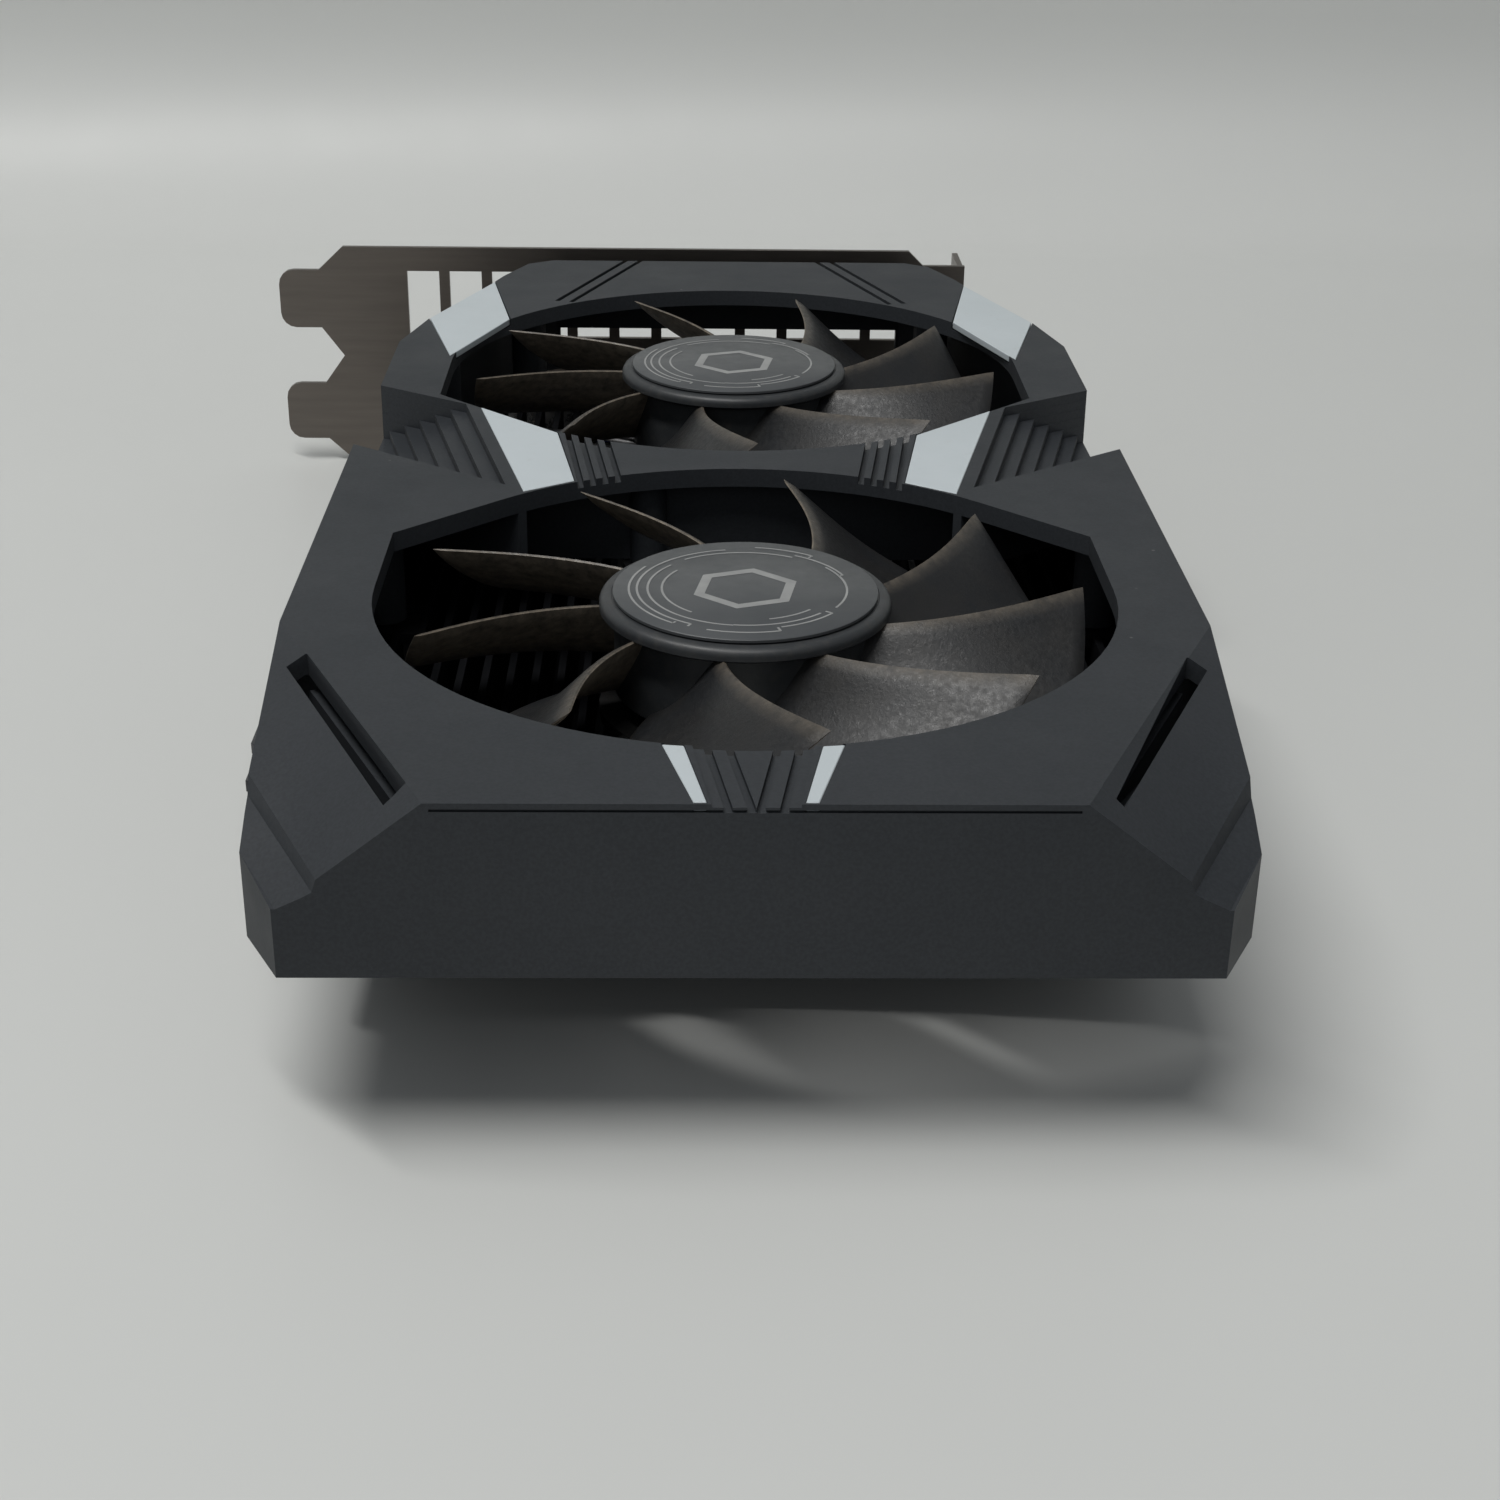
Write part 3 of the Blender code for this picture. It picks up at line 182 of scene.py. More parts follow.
class Nodes:
    """A small helper to write a node material in a few lines."""

    def __init__(self, name):
        self.material = bpy.data.materials.new(name)
        self.material.use_nodes = True
        self.tree = self.material.node_tree
        self.shader = self.tree.nodes["Principled BSDF"]
        self.coord = self.tree.nodes.new("ShaderNodeTexCoord").outputs["Object"]

    def link(self, output, target):
        self.tree.links.new(output, target)

    def set(self, **values):
        for key, value in values.items():
            self.shader.inputs[key.replace("_", " ")].default_value = value

    def noise(self, scale, detail=4.0, rough=0.55, stretch=None):
        node = self.tree.nodes.new("ShaderNodeTexNoise")
        node.inputs["Scale"].default_value = scale
        node.inputs["Detail"].default_value = detail
        node.inputs["Roughness"].default_value = rough
        self.link(self.mapped(stretch), node.inputs["Vector"])
        return node.outputs["Fac"]

    def cells(self, scale, stretch=None):
        node = self.tree.nodes.new("ShaderNodeTexVoronoi")
        node.inputs["Scale"].default_value = scale
        self.link(self.mapped(stretch), node.inputs["Vector"])
        return node.outputs["Distance"]

    def mapped(self, stretch):
        if not stretch:
            return self.coord
        node = self.tree.nodes.new("ShaderNodeMapping")
        node.inputs["Scale"].default_value = stretch
        self.link(self.coord, node.inputs["Vector"])
        return node.outputs["Vector"]

    def ramp(self, value, *stops):
        """Colour stops as (position, colour or grey)."""
        node = self.tree.nodes.new("ShaderNodeValToRGB")
        elements = node.color_ramp.elements
        while len(elements) < len(stops):
            elements.new(0.5)
        for element, (position, colour) in zip(elements, stops):
            element.position = position
            grey = isinstance(colour, (int, float))
            element.color = (colour, colour, colour, 1) if grey else (*colour, 1)
        self.link(value, node.inputs["Fac"])
        return node.outputs["Color"]

    def mix(self, share, first, second, blend="MIX"):
        node = self.tree.nodes.new("ShaderNodeMix")
        node.data_type = "RGBA"
        node.blend_type = blend
        for value, index in ((share, MIX_SHARE), (first, MIX_FIRST), (second, MIX_SECOND)):
            if isinstance(value, (int, float)):
                node.inputs[index].default_value = value
            elif isinstance(value, tuple):
                node.inputs[index].default_value = (*value, 1)
            else:
                self.link(value, node.inputs[index])
        return node.outputs[MIX_RESULT]

    def attribute(self, name):
        node = self.tree.nodes.new("ShaderNodeAttribute")
        node.attribute_name = name
        return node.outputs["Fac"]

    def math(self, operation, first, second):
        node = self.tree.nodes.new("ShaderNodeMath")
        node.operation = operation
        for value, index in ((first, 0), (second, 1)):
            if isinstance(value, (int, float)):
                node.inputs[index].default_value = value
            else:
                self.link(value, node.inputs[index])
        return node.outputs[0]

    def colour(self, output):
        self.link(output, self.shader.inputs["Base Color"])

    def rough(self, output):
        self.link(output, self.shader.inputs["Roughness"])

    def bump(self, output, strength, distance):
        node = self.tree.nodes.new("ShaderNodeBump")
        node.inputs["Strength"].default_value = strength
        node.inputs["Distance"].default_value = distance
        self.link(output, node.inputs["Height"])
        if self.shader.inputs["Normal"].is_linked:
            self.link(self.shader.inputs["Normal"].links[0].from_socket, node.inputs["Normal"])
        self.link(node.outputs["Normal"], self.shader.inputs["Normal"])


def shroud_plastic():
    """Matt charcoal moulding: fine spark texture, faint cloudy tone and a few dust specks."""
    n = Nodes("shroud_plastic")
    n.set(IOR=1.46, Specular_IOR_Level=0.32)
    cloud = n.ramp(n.noise(28, 5), (0.3, (0.027, 0.0305, 0.035)), (0.7, (0.033, 0.0365, 0.0415)))
    grain = n.ramp(n.noise(2600, 2), (0.35, (0.9, 0.9, 0.9)), (0.65, (1.1, 1.1, 1.1)))
    base = n.mix(1.0, cloud, grain, "MULTIPLY")
    specks = n.ramp(n.cells(230), (0.035, 1.0), (0.06, 0.0))
    sparse = n.ramp(n.noise(60, 2), (0.58, 0.0), (0.66, 0.5))
    share = n.math("MULTIPLY", specks, sparse)
    n.colour(n.mix(share, base, (0.2, 0.2, 0.19)))
    n.rough(n.ramp(n.noise(90, 4), (0.3, 0.5), (0.7, 0.6)))
    n.bump(n.noise(1900, 3), 0.16, 0.00005)
    return n.material


def accent_white():
    """Cool pale satin paint with the faintest orange peel and grime."""
    n = Nodes("accent_white")
    tone = n.ramp(n.noise(45, 5), (0.3, (0.49, 0.54, 0.56)), (0.7, (0.53, 0.58, 0.605)))
    grime = n.ramp(n.noise(420, 4), (0.62, 0.0), (0.8, 0.35))
    n.colour(n.mix(grime, tone, (0.42, 0.44, 0.43)))
    n.rough(n.ramp(n.noise(200, 3), (0.3, 0.4), (0.7, 0.5)))
    n.bump(n.noise(900, 2), 0.12, 0.00005)
    return n.material


def fan_plastic():
    """Satin dark moulding: a speckled sheen, and pale brown where the mesh's dust value is high: dust on
    the edges, and painted light over some dust on the undersides.
    """
    n = Nodes("fan_plastic")
    n.set(IOR=1.5, Specular_IOR_Level=0.42)
    base = n.ramp(n.noise(60, 5), (0.3, (0.012, 0.0132, 0.015)), (0.7, (0.019, 0.0203, 0.0223)))
    film = n.ramp(n.noise(140, 6, 0.65), (0.35, 0.0), (0.7, 0.2))
    filmed = n.mix(film, base, (0.05, 0.042, 0.031))
    patchy = n.ramp(n.noise(700, 5, 0.7), (0.3, 0.25), (0.65, 1.0))
    # The dust value is dust on the blades' edges, and painted light with some dust on their undersides.
    dust = n.math("MULTIPLY", n.attribute("dust"), patchy)
    n.colour(n.mix(dust, filmed, (0.25, 0.21, 0.16)))
    n.rough(n.ramp(n.noise(1500, 3), (0.3, 0.3), (0.7, 0.5)))
    n.bump(n.noise(1900, 5, 0.7), 0.6, 0.00007)
    n.bump(n.noise(330, 3), 0.12, 0.0001)
    return n.material


def hub_plastic():
    """The hub cap: the same moulding, wiped and a little greyer."""
    n = Nodes("hub_plastic")
    base = n.ramp(n.noise(90, 5), (0.3, (0.026, 0.029, 0.032)), (0.7, (0.036, 0.039, 0.042)))
    dust = n.ramp(n.noise(800, 5, 0.7), (0.5, 0.0), (0.75, 0.5))
    n.colour(n.mix(dust, base, (0.065, 0.062, 0.055)))
    n.rough(n.ramp(n.noise(400, 3), (0.3, 0.38), (0.7, 0.52)))
    n.bump(n.noise(1700, 3), 0.25, 0.00005)
    return n.material


# Bumps as a noise's scale, the strength and the height in metres.
FINE_GRAIN = (900, 0.2, 0.00005)
DRAWN_GRAIN = (700, 0.2, 0.00005)
PLATE_GRAIN = (500, 0.15, 0.00004)
WOUND_GRAIN = (1600, 0.8, 0.0001)


def simple(name, dark, pale, rough, metallic=0.0, scale=150, bump=FINE_GRAIN, stretch=None, shine=0.5):
    """A two-tone procedural finish with its own grain."""
    n = Nodes(name)
    n.set(Metallic=metallic, Specular_IOR_Level=shine)
    n.colour(n.ramp(n.noise(scale, 5, stretch=stretch), (0.3, dark), (0.7, pale)))
    n.rough(n.ramp(n.noise(scale * 2.5, 4, stretch=stretch), (0.3, rough[0]), (0.7, rough[1])))
    grain, strength, height = bump
    n.bump(n.noise(grain, 3, stretch=stretch), strength, height)
    return n.material


def board_mask():
    """Near-black solder mask over faint traces."""
    n = Nodes("board_mask")
    n.set(Coat_Weight=0.4, Coat_Roughness=0.2)
    traces = n.ramp(n.cells(330, stretch=(1, 3.2, 1)), (0.42, 0.0), (0.5, 1.0))
    n.colour(n.mix(traces, (0.008, 0.009, 0.013), (0.016, 0.018, 0.024)))
    n.rough(n.ramp(n.noise(200, 3), (0.3, 0.32), (0.7, 0.42)))
    n.bump(traces, 0.3, 0.00005)
    return n.material


# Plain finishes: darker and paler tone, least and most roughness, metallic, scale of the tones.
PLAIN = {
    "label_print": ((0.062, 0.067, 0.071), (0.078, 0.083, 0.087), (0.34, 0.46), 0.0, 120),
    "gold": ((0.78, 0.52, 0.2), (0.86, 0.6, 0.26), (0.2, 0.32), 1.0, 300),
    "chip_resin": ((0.018, 0.018, 0.02), (0.027, 0.027, 0.03), (0.45, 0.6), 0.0, 500),
    "silicon": ((0.2, 0.22, 0.27), (0.26, 0.28, 0.33), (0.08, 0.16), 0.7, 80),
    "substrate_green": ((0.012, 0.07, 0.035), (0.02, 0.1, 0.05), (0.3, 0.45), 0.0, 300),
    "nickel": ((0.5, 0.49, 0.47), (0.62, 0.61, 0.59), (0.2, 0.35), 1.0, 200),
    "connector_plastic": ((0.015, 0.015, 0.017), (0.025, 0.025, 0.028), (0.5, 0.62), 0.0, 150),
    "ferrite": ((0.05, 0.05, 0.055), (0.09, 0.09, 0.095), (0.5, 0.7), 0.2, 600),
    "steel": ((0.4, 0.4, 0.42), (0.55, 0.55, 0.57), (0.22, 0.38), 1.0, 300),
    "bronze": ((0.5, 0.32, 0.15), (0.62, 0.42, 0.2), (0.3, 0.45), 1.0, 500),
    "magnet": ((0.06, 0.06, 0.062), (0.1, 0.1, 0.1), (0.5, 0.65), 0.2, 500),
    "lead_rubber": ((0.012, 0.012, 0.014), (0.022, 0.022, 0.024), (0.4, 0.55), 0.0, 150),
}
# Finishes whose grain is drawn out along one way.
DRAWN = {
    "bracket_steel": ((0.163, 0.146, 0.131), (0.19, 0.169, 0.151), (0.34, 0.4), 1.0, 60,
                      PLATE_GRAIN, (1, 1, 14)),
    "aluminium": ((0.42, 0.43, 0.45), (0.55, 0.56, 0.58), (0.32, 0.5), 1.0, 90,
                  DRAWN_GRAIN, (8, 1, 8)),
    "copper_coil": ((0.4, 0.14, 0.05), (0.62, 0.27, 0.1), (0.25, 0.4), 1.0, 900,
                    WOUND_GRAIN, (1, 1, 4)),
}
MATERIALS = {name: simple(name, *looks) for name, looks in {**PLAIN, **DRAWN}.items()}
for finish in (shroud_plastic, accent_white, fan_plastic, board_mask):
    MATERIALS[finish.__name__] = finish()
HUB_PLASTIC = hub_plastic()
# The heatsink is drawn near black and not metallic: painted shade that stands in for the dark inside of
# the fan wells.
SINK_PAINTED_SHADE = simple("sink_painted_shade", (0.003, 0.0033, 0.004), (0.006, 0.0063, 0.0075), (0.55, 0.7), 0.0, 90,
                    DRAWN_GRAIN, (8, 1, 8), 0.1)
LABEL_LINE = simple("label_line", (0.24, 0.245, 0.245), (0.31, 0.315, 0.31), (0.35, 0.45), 0.0, 260)


def dress_cad_nodes():
    """Every CAD node takes the material of its slot, but for the heatsink, which takes a near-black
    painted shade.
    """
    slots = {entry["node"]: entry["material_slot"] for entry in frame["record"]["subparts"]}
    for name, obj in frame["nodes"].items():
        obj.data.materials.clear()
        obj.data.materials.append(SINK_PAINTED_SHADE if name == "heatsink" else MATERIALS[slots[name]])


# --- the CAD nodes' edges ------------------------------------------------------------------------

SHARP_TURN = 24.0      # edges that turn more than this, in degrees, stay sharp
FLAT_TURN = 0.6        # faces that turn less than this are joined
WELD_REACH = 0.00001


def smooth_group():
    """Shades a mesh smooth, and sharp along the edges that turn more than SHARP_TURN."""
    group = bpy.data.node_groups.new("smooth_faces", "GeometryNodeTree")
    group.interface.new_socket("Geometry", in_out="INPUT", socket_type="NodeSocketGeometry")
    group.interface.new_socket("Geometry", in_out="OUTPUT", socket_type="NodeSocketGeometry")
    inlet = group.nodes.new("NodeGroupInput")
    outlet = group.nodes.new("NodeGroupOutput")
    faces = group.nodes.new("GeometryNodeSetShadeSmooth")
    edges = group.nodes.new("GeometryNodeSetShadeSmooth")
    edges.domain = "EDGE"
    edges.inputs["Shade Smooth"].default_value = False
    turn = group.nodes.new("GeometryNodeInputMeshEdgeAngle")
    sharp = group.nodes.new("FunctionNodeCompare")
    sharp.operation = "GREATER_THAN"
    sharp.inputs["B"].default_value = math.radians(SHARP_TURN)
    group.links.new(turn.outputs["Unsigned Angle"], sharp.inputs["A"])
    group.links.new(inlet.outputs[0], faces.inputs["Geometry"])
    group.links.new(faces.outputs["Geometry"], edges.inputs["Geometry"])
    group.links.new(sharp.outputs["Result"], edges.inputs["Selection"])
    group.links.new(edges.outputs["Geometry"], outlet.inputs[0])
    return group


SMOOTH = smooth_group()
EDGE_WIDTHS = {"shroud": 0.4, "io_bracket": 0.18, "pcb": 0.1, "heatsink": 0.08}
OTHER_EDGES = 0.07


def soften_cad(name):
    """Joins a CAD node's flat faces again, shades it smooth and rounds its edges."""
    obj = frame["nodes"][name]
    weld = obj.modifiers.new("Weld", "WELD")
    weld.merge_threshold = WELD_REACH
    flat = obj.modifiers.new("Flat", "DECIMATE")
    flat.decimate_type = "DISSOLVE"
    flat.angle_limit = math.radians(FLAT_TURN)
    smooth = obj.modifiers.new("Smooth", "NODES")
    smooth.node_group = SMOOTH
    edges = bevel(obj, EDGE_WIDTHS.get(name, OTHER_EDGES), 3 if name == "shroud" else 2)
    edges.harden_normals = False
    weighted = obj.modifiers.new("Normals", "WEIGHTED_NORMAL")
    weighted.keep_sharp = True


# --- fans --------------------------------------------------------------------------------------

TIP_R = 38.2
ROOT_R = 13.9
HUB_R = 14.8
CAP_R = 16.46
LABEL_R = 14.9
LABEL_LOW, LABEL_HIGH = (local_box("tail_hub_label")[k].z for k in (0, 1))
CAP_TOP = LABEL_LOW - 0.2
CAP_THICK = 1.6
CAP_ROUND = 0.9
HUB_WALL = 1.5
BLADES = 9
BLADE_FOOT = 27.0      # height of the trailing edge's root
BLADE_HEAD = 36.3      # height of the leading edge's root
FOOT_RISE, HEAD_RISE = 0.9, 2.2
SWEEP = 23.0           # how far the leading edge's root lags behind its tip, in degrees
WRAP = 36.0            # how far the root reaches round the hub
WRAP_LOSS = 8.0        # how much less the tip does
CAMBER = 0.16
ROOT_HALF = 0.62       # half the blade's thickness at its root
HALF_LOSS = 0.16
TIP_ROUND = 0.015      # share of the blade's length that its tip's rounding takes
BLADE_ROWS, BLADE_COLUMNS = 30, 22
SLOPE_STEP = 0.01
# Dust on the blade's edges: how much, and the share of its width that it fades out over.
LEADING_DUST, LEADING_FADE = 0.4, 0.1
TRAILING_DUST, TRAILING_FADE = 0.2, 0.07


def blade_point(share, along):
    """A point of the blade's middle surface: root to tip, leading to trailing edge."""
    radius = ROOT_R + (TIP_R - ROOT_R) * share
    lead_angle = -SWEEP * max(1 - share, 0) ** 1.15
    lead_z = BLADE_HEAD + HEAD_RISE * share
    trail_z = BLADE_FOOT + FOOT_RISE * share
    angle = lead_angle - (WRAP - WRAP_LOSS * share) * along
    fall = along + CAMBER * math.sin(math.pi * along)
    x, y = around((0, 0), radius, angle)
    return Vector((x, y, lead_z + (trail_z - lead_z) * fall))


def blade_half(share, along):
    """Half the thickness, less towards the tip and rounded off at the edges and the tip's end."""
    tip = math.sqrt(max(1 - max((share - 1 + TIP_ROUND) / TIP_ROUND, 0) ** 2, 0.02))
    edge = math.sqrt(max(1 - abs(2 * along - 1) ** 10, 0.06))
    return (ROOT_HALF - HALF_LOSS * share) * edge * tip


def blade_normal(share, along):
    across = blade_point(share, along + SLOPE_STEP) - blade_point(share, along - SLOPE_STEP)
    outwards = blade_point(share + SLOPE_STEP, along) - blade_point(share - SLOPE_STEP, along)
    return outwards.cross(across).normalized()


def blade_dust_and_light(along, side):
    """Painted light with some dust on the side that faces down, which takes the full pale brown to lighten
    its shade, and a little dust on both edges.
    """
    # Painted light: the underside's full share stands in for fill light on its shaded face.
    under = 1.0 if side > 0 else 0.0
    leading = max(1 - along / LEADING_FADE, 0) ** 1.3
    trailing = max(1 - (1 - along) / TRAILING_FADE, 0)
    return min(1.0, LEADING_DUST * leading + under + TRAILING_DUST * trailing)


def add_blade(shape, centre, turn, dust):
    """One blade as a closed loft of rounded sections."""
    turned = Matrix.Rotation(math.radians(turn), 3, "Z")
    middle_point = Vector((*centre, 0))
    there = [j / (BLADE_COLUMNS - 1) for j in range(BLADE_COLUMNS)]
    way_round = [(1, along) for along in there] + [(-1, 1 - along) for along in there]
    loops = []
    for i in range(BLADE_ROWS):
        share = i / (BLADE_ROWS - 1)
        loop = []
        for side, along in way_round:
            offset = blade_normal(share, along) * blade_half(share, along) * side
            vert = shape.verts.new(middle_point + turned @ (blade_point(share, along) + offset))
            # The value carries dust, and painted light on the underside.
            vert[dust] = blade_dust_and_light(along, side)
            loop.append(vert)
        loops.append(loop)
    add_sleeve(shape, loops)


def make_blades(name):
    shape = bmesh.new()
    dust = shape.verts.layers.float.new("dust")
    for k in range(BLADES):
        add_blade(shape, (0, FANS[name]), BLADE_PHASE[name] + 360 / BLADES * k, dust)
    outward(shape)
    piece(name + "_blades", shape, name + "_rotor", "fan_plastic", f"{name}_impeller", SWEPT)


def make_hub(name):
    """The hub with its flat cap: a shallow seat for the label, a round lip and a hollow inside."""
    under = CAP_TOP - CAP_THICK
    turns = [math.radians(15 * k) for k in range(7)]
    lip = [(CAP_R - CAP_ROUND + CAP_ROUND * math.sin(a), CAP_TOP - CAP_ROUND + CAP_ROUND * math.cos(a))
           for a in turns]
    profile = [(0, CAP_TOP), (LABEL_R + 0.15, CAP_TOP), (LABEL_R + 0.2, CAP_TOP + 0.05)] + lip + [
        (CAP_R, under + 0.25), (CAP_R - 0.3, under), (HUB_R + 0.4, under - 0.15), (HUB_R, under - 0.6),
        (HUB_R, BLADE_FOOT), (HUB_R - 0.3, BLADE_FOOT - 0.3), (HUB_R - HUB_WALL, BLADE_FOOT - 0.3),
        (HUB_R - HUB_WALL, under - 0.4), (0, under - 0.4)]
    shape = bmesh.new()
    add_turned(shape, (0, FANS[name]), profile)
    outward(shape)
    piece(name + "_hub", shape, name + "_rotor", "fan_plastic", None, ROUND, HUB_PLASTIC)


# Printed lines of a hub label: radius, first and last angle.
LABEL_ARCS = [
    (13.1, 150, 232), (12.2, 100, 240), (11.2, 60, 128), (12.9, 52, 84), (12.9, 250, 286),
    (11.0, 140, 262), (11.9, 288, 322), (11.4, 330, 395), (11.9, 20, 60), (10.9, 262, 318),
    (9.4, 145, 230), (9.4, 285, 318),
]
# Short radial lines between the arcs: angle, radius at each end.
LABEL_JOGS = [(232, 13.1, 12.6), (240, 12.2, 12.9), (286, 12.9, 11.9), (322, 11.9, 11.0),
              (52, 12.9, 12.2), (20, 11.9, 11.4)]
PRINT_WIDE = 0.26
PRINT_SUNK, PRINT_PROUD = 0.02, 0.03
EMBLEM_R = (4.9, 6.2)
EMBLEM_TURN = 20


def add_arc_band(shape, centre, radius, start, end, width, low, high):
    steps = max(4, int(abs(end - start) / 4))
    angles = [start + (end - start) * k / steps for k in range(steps + 1)]
    outer = [around(centre, radius + width / 2, a) for a in angles]
    inner = [around(centre, radius - width / 2, a) for a in reversed(angles)]
    add_prism(shape, outer + inner, low, high)


def add_jog(shape, centre, angle, start_r, end_r, low, high):
    """A short radial line between two arcs."""
    half = math.degrees(PRINT_WIDE / (start_r + end_r))
    outline = [around(centre, start_r, angle - half), around(centre, end_r, angle - half),
               around(centre, end_r, angle + half), around(centre, start_r, angle + half)]
    add_prism(shape, outline, low, high)


def add_emblem(shape, centre, low, high):
    """A plain mark: the outline of a hexagon."""
    inner, outer = ([around(centre, radius, 60 * k + EMBLEM_TURN) for k in range(6)]
                    for radius in EMBLEM_R)
    for k in range(6):
        m = (k + 1) % 6
        add_prism(shape, [outer[k], outer[m], inner[m], inner[k]], low, high)


def make_label(name):
    centre = (0, FANS[name])
    body = name + "_rotor"
    shape = bmesh.new()
    add_turned(shape, centre, [(0, LABEL_HIGH), (LABEL_R - 0.12, LABEL_HIGH), (LABEL_R, LABEL_HIGH - 0.1),
                               (LABEL_R, LABEL_LOW), (0, LABEL_LOW)])
    piece(name + "_label", shape, body, "label_print", f"{name}_hub_label", ROUND)
    shape = bmesh.new()
    low, high = LABEL_HIGH - PRINT_SUNK, LABEL_HIGH + PRINT_PROUD
    for radius, start, end in LABEL_ARCS:
        add_arc_band(shape, centre, radius, start, end, PRINT_WIDE, low, high)
    for angle, start_r, end_r in LABEL_JOGS:
        add_jog(shape, centre, angle, start_r, end_r, low, high)
    add_emblem(shape, centre, low, high)
    outward(shape)
    piece(name + "_label_print", shape, body, "label_print", None, ROUND, LABEL_LINE)


# --- wires, inlays and the board's small parts --------------------------------------------------

# The way of each fan's lead, from the motor's board to the header, by given points.
LEADS = {
    "tail": [(-7.8, -9.2, 25.8), (-15.0, -17.4, 25.8), (-22.0, -23.4, 25.8), (-31.0, -26.6, 25.8),
             (-38.5, -24.8, 25.8), (-43.5, -22.5, 25.2), (-46.4, -19.5, 24.0), (-47.0, -16.0, 21.0),
             (-47.0, -11.0, 16.0), (-47.0, -6.0, 12.0), (-47.0, 0.0, 9.4), (-47.0, 6.0, 8.5),
             (-46.4, 10.5, 8.2)],
    "rear": [(-11.8, 91.2, 25.8), (-18.0, 93.0, 25.8), (-26.0, 95.2, 25.8), (-34.0, 96.6, 25.8),
             (-39.8, 95.0, 25.8), (-44.4, 91.5, 25.4), (-46.6, 88.0, 24.3), (-47.2, 84.0, 21.5),
             (-47.3, 78.0, 17.5), (-47.2, 70.0, 12.2), (-47.0, 52.0, 9.2), (-47.0, 34.0, 8.6),
             (-47.0, 26.0, 8.4), (-46.4, 20.5, 8.2)],
}
WIRE_R = 0.33
TWIST_R = WIRE_R * 1.12
TWIST = 14             # degrees that the wires turn at each step of the way
WIRE_COLOURS = {
    "black": ((0.012, 0.012, 0.014), (0.022, 0.022, 0.024)),
    "blue": ((0.01, 0.018, 0.16), (0.014, 0.026, 0.22)),
    "grey": ((0.16, 0.16, 0.165), (0.22, 0.22, 0.225)),
}


def add_tube(shape, points, radius, sides=10):
    """A round tube along the points, closed at both ends."""
    rings = []
    for k, point in enumerate(points):
        ahead = points[min(k + 1, len(points) - 1)] - points[max(k - 1, 0)]
        turn = ahead.to_track_quat("Z", "Y")
        rings.append([shape.verts.new(point + turn @ Vector((*around((0, 0), radius, 360 * j / sides), 0)))
                      for j in range(sides)])
    add_sleeve(shape, rings)


def smooth_run(points, per_span=8):
    """Points along a curve through the given ones."""
    points = [Vector(p) for p in points]
    ends = [points[0] * 2 - points[1]] + points + [points[-1] * 2 - points[-2]]
    found = []
    for a, b, c, d in zip(ends, ends[1:], ends[2:], ends[3:]):
        for k in range(per_span):
            t = k / per_span
            found.append(0.5 * (2 * b + (c - a) * t + (2 * a - 5 * b + 4 * c - d) * t * t
                                + (3 * b - a - 3 * c + d) * t ** 3))
    return found + [points[-1]]


def make_wires(name):
    """Three thin wires twisted along the lead's way."""
    run = smooth_run(LEADS[name])
    for number, (colour, (dark, pale)) in enumerate(WIRE_COLOURS.items()):
        points = []
        for k, point in enumerate(run):
            ahead = run[min(k + 1, len(run) - 1)] - run[max(k - 1, 0)]
            turn = ahead.to_track_quat("Z", "Y")
            beside = around((0, 0), TWIST_R, 120 * number + TWIST * k)
            points.append(point + turn @ Vector((*beside, 0)))
        shape = bmesh.new()
        add_tube(shape, points, WIRE_R)
        outward(shape)
        piece(f"{name}_wire_{colour}", shape, "card", "lead_rubber",
              f"{name}_fan_lead" if number == 0 else None, SWEPT,
              simple(f"{name}_wire_{colour}", dark, pale, (0.35, 0.5), 0.0, 400))


PLATE_THICK = 1.0
PLATE_EDGE = 0.16
INLAYS = {
    "mid_inlay": [(27.07, 32.4), (35.31, 67.31), (24.09, 56.16), (20.91, 36.58)],
    "rear_inlay": [(41.99, 92.72), (47.12, 113.73), (38.81, 136.55), (34.71, 113.45)],
    "tail_inlay": [(6.69, -41.02), (8.86, -40.73), (5.8, -53.05), (4.53, -53.05)],
}


def make_inlays():
    """The pale plates, with rounded edges, on both sides of the card."""
    for name, outline in INLAYS.items():
        for side, run in zip(("right", "left"), both_sides(outline)):
            shape = bmesh.new()
            add_prism(shape, run, TOP - PLATE_THICK, TOP)
            outward(shape)
            plate = piece(f"{name}_{side}_plate", shape, "card", "accent_white", f"{name}_{side}", BOXY)
            bevel(plate, PLATE_EDGE)


FIRST_FINGER = 0.4
FINGER_PITCH = 1.0
FINGER_HALF = 0.35
FINGER_END = 115.4
KEY_Y = (100.9, 104.2)     # no finger has its middle here, by the edge connector's key
SHORT_FINGERS = (1, 80)
SHORT_BY = 0.9
GOLD_THICK = 0.04
GOLD_GAP = 0.02


def make_contacts():
    """Separate gold fingers on both faces of the edge connector."""
    low, high = local_box("edge_contacts")
    board_low, board_high = local_box("pcb")
    shape = bmesh.new()
    count = 0
    y = low.y + FIRST_FINGER
    while y < FINGER_END:
        if not KEY_Y[0] < y < KEY_Y[1]:
            start = low.x + (SHORT_BY if count in SHORT_FINGERS else 0)
            for z in (board_high.z + GOLD_GAP, board_low.z - GOLD_GAP - GOLD_THICK):
                add_box(shape, (start, high.x), (y - FINGER_HALF, y + FINGER_HALF), (z, z + GOLD_THICK))
            count += 1
        y += FINGER_PITCH
    piece("edge_fingers", shape, "card", "gold", "edge_contacts", BOXY)


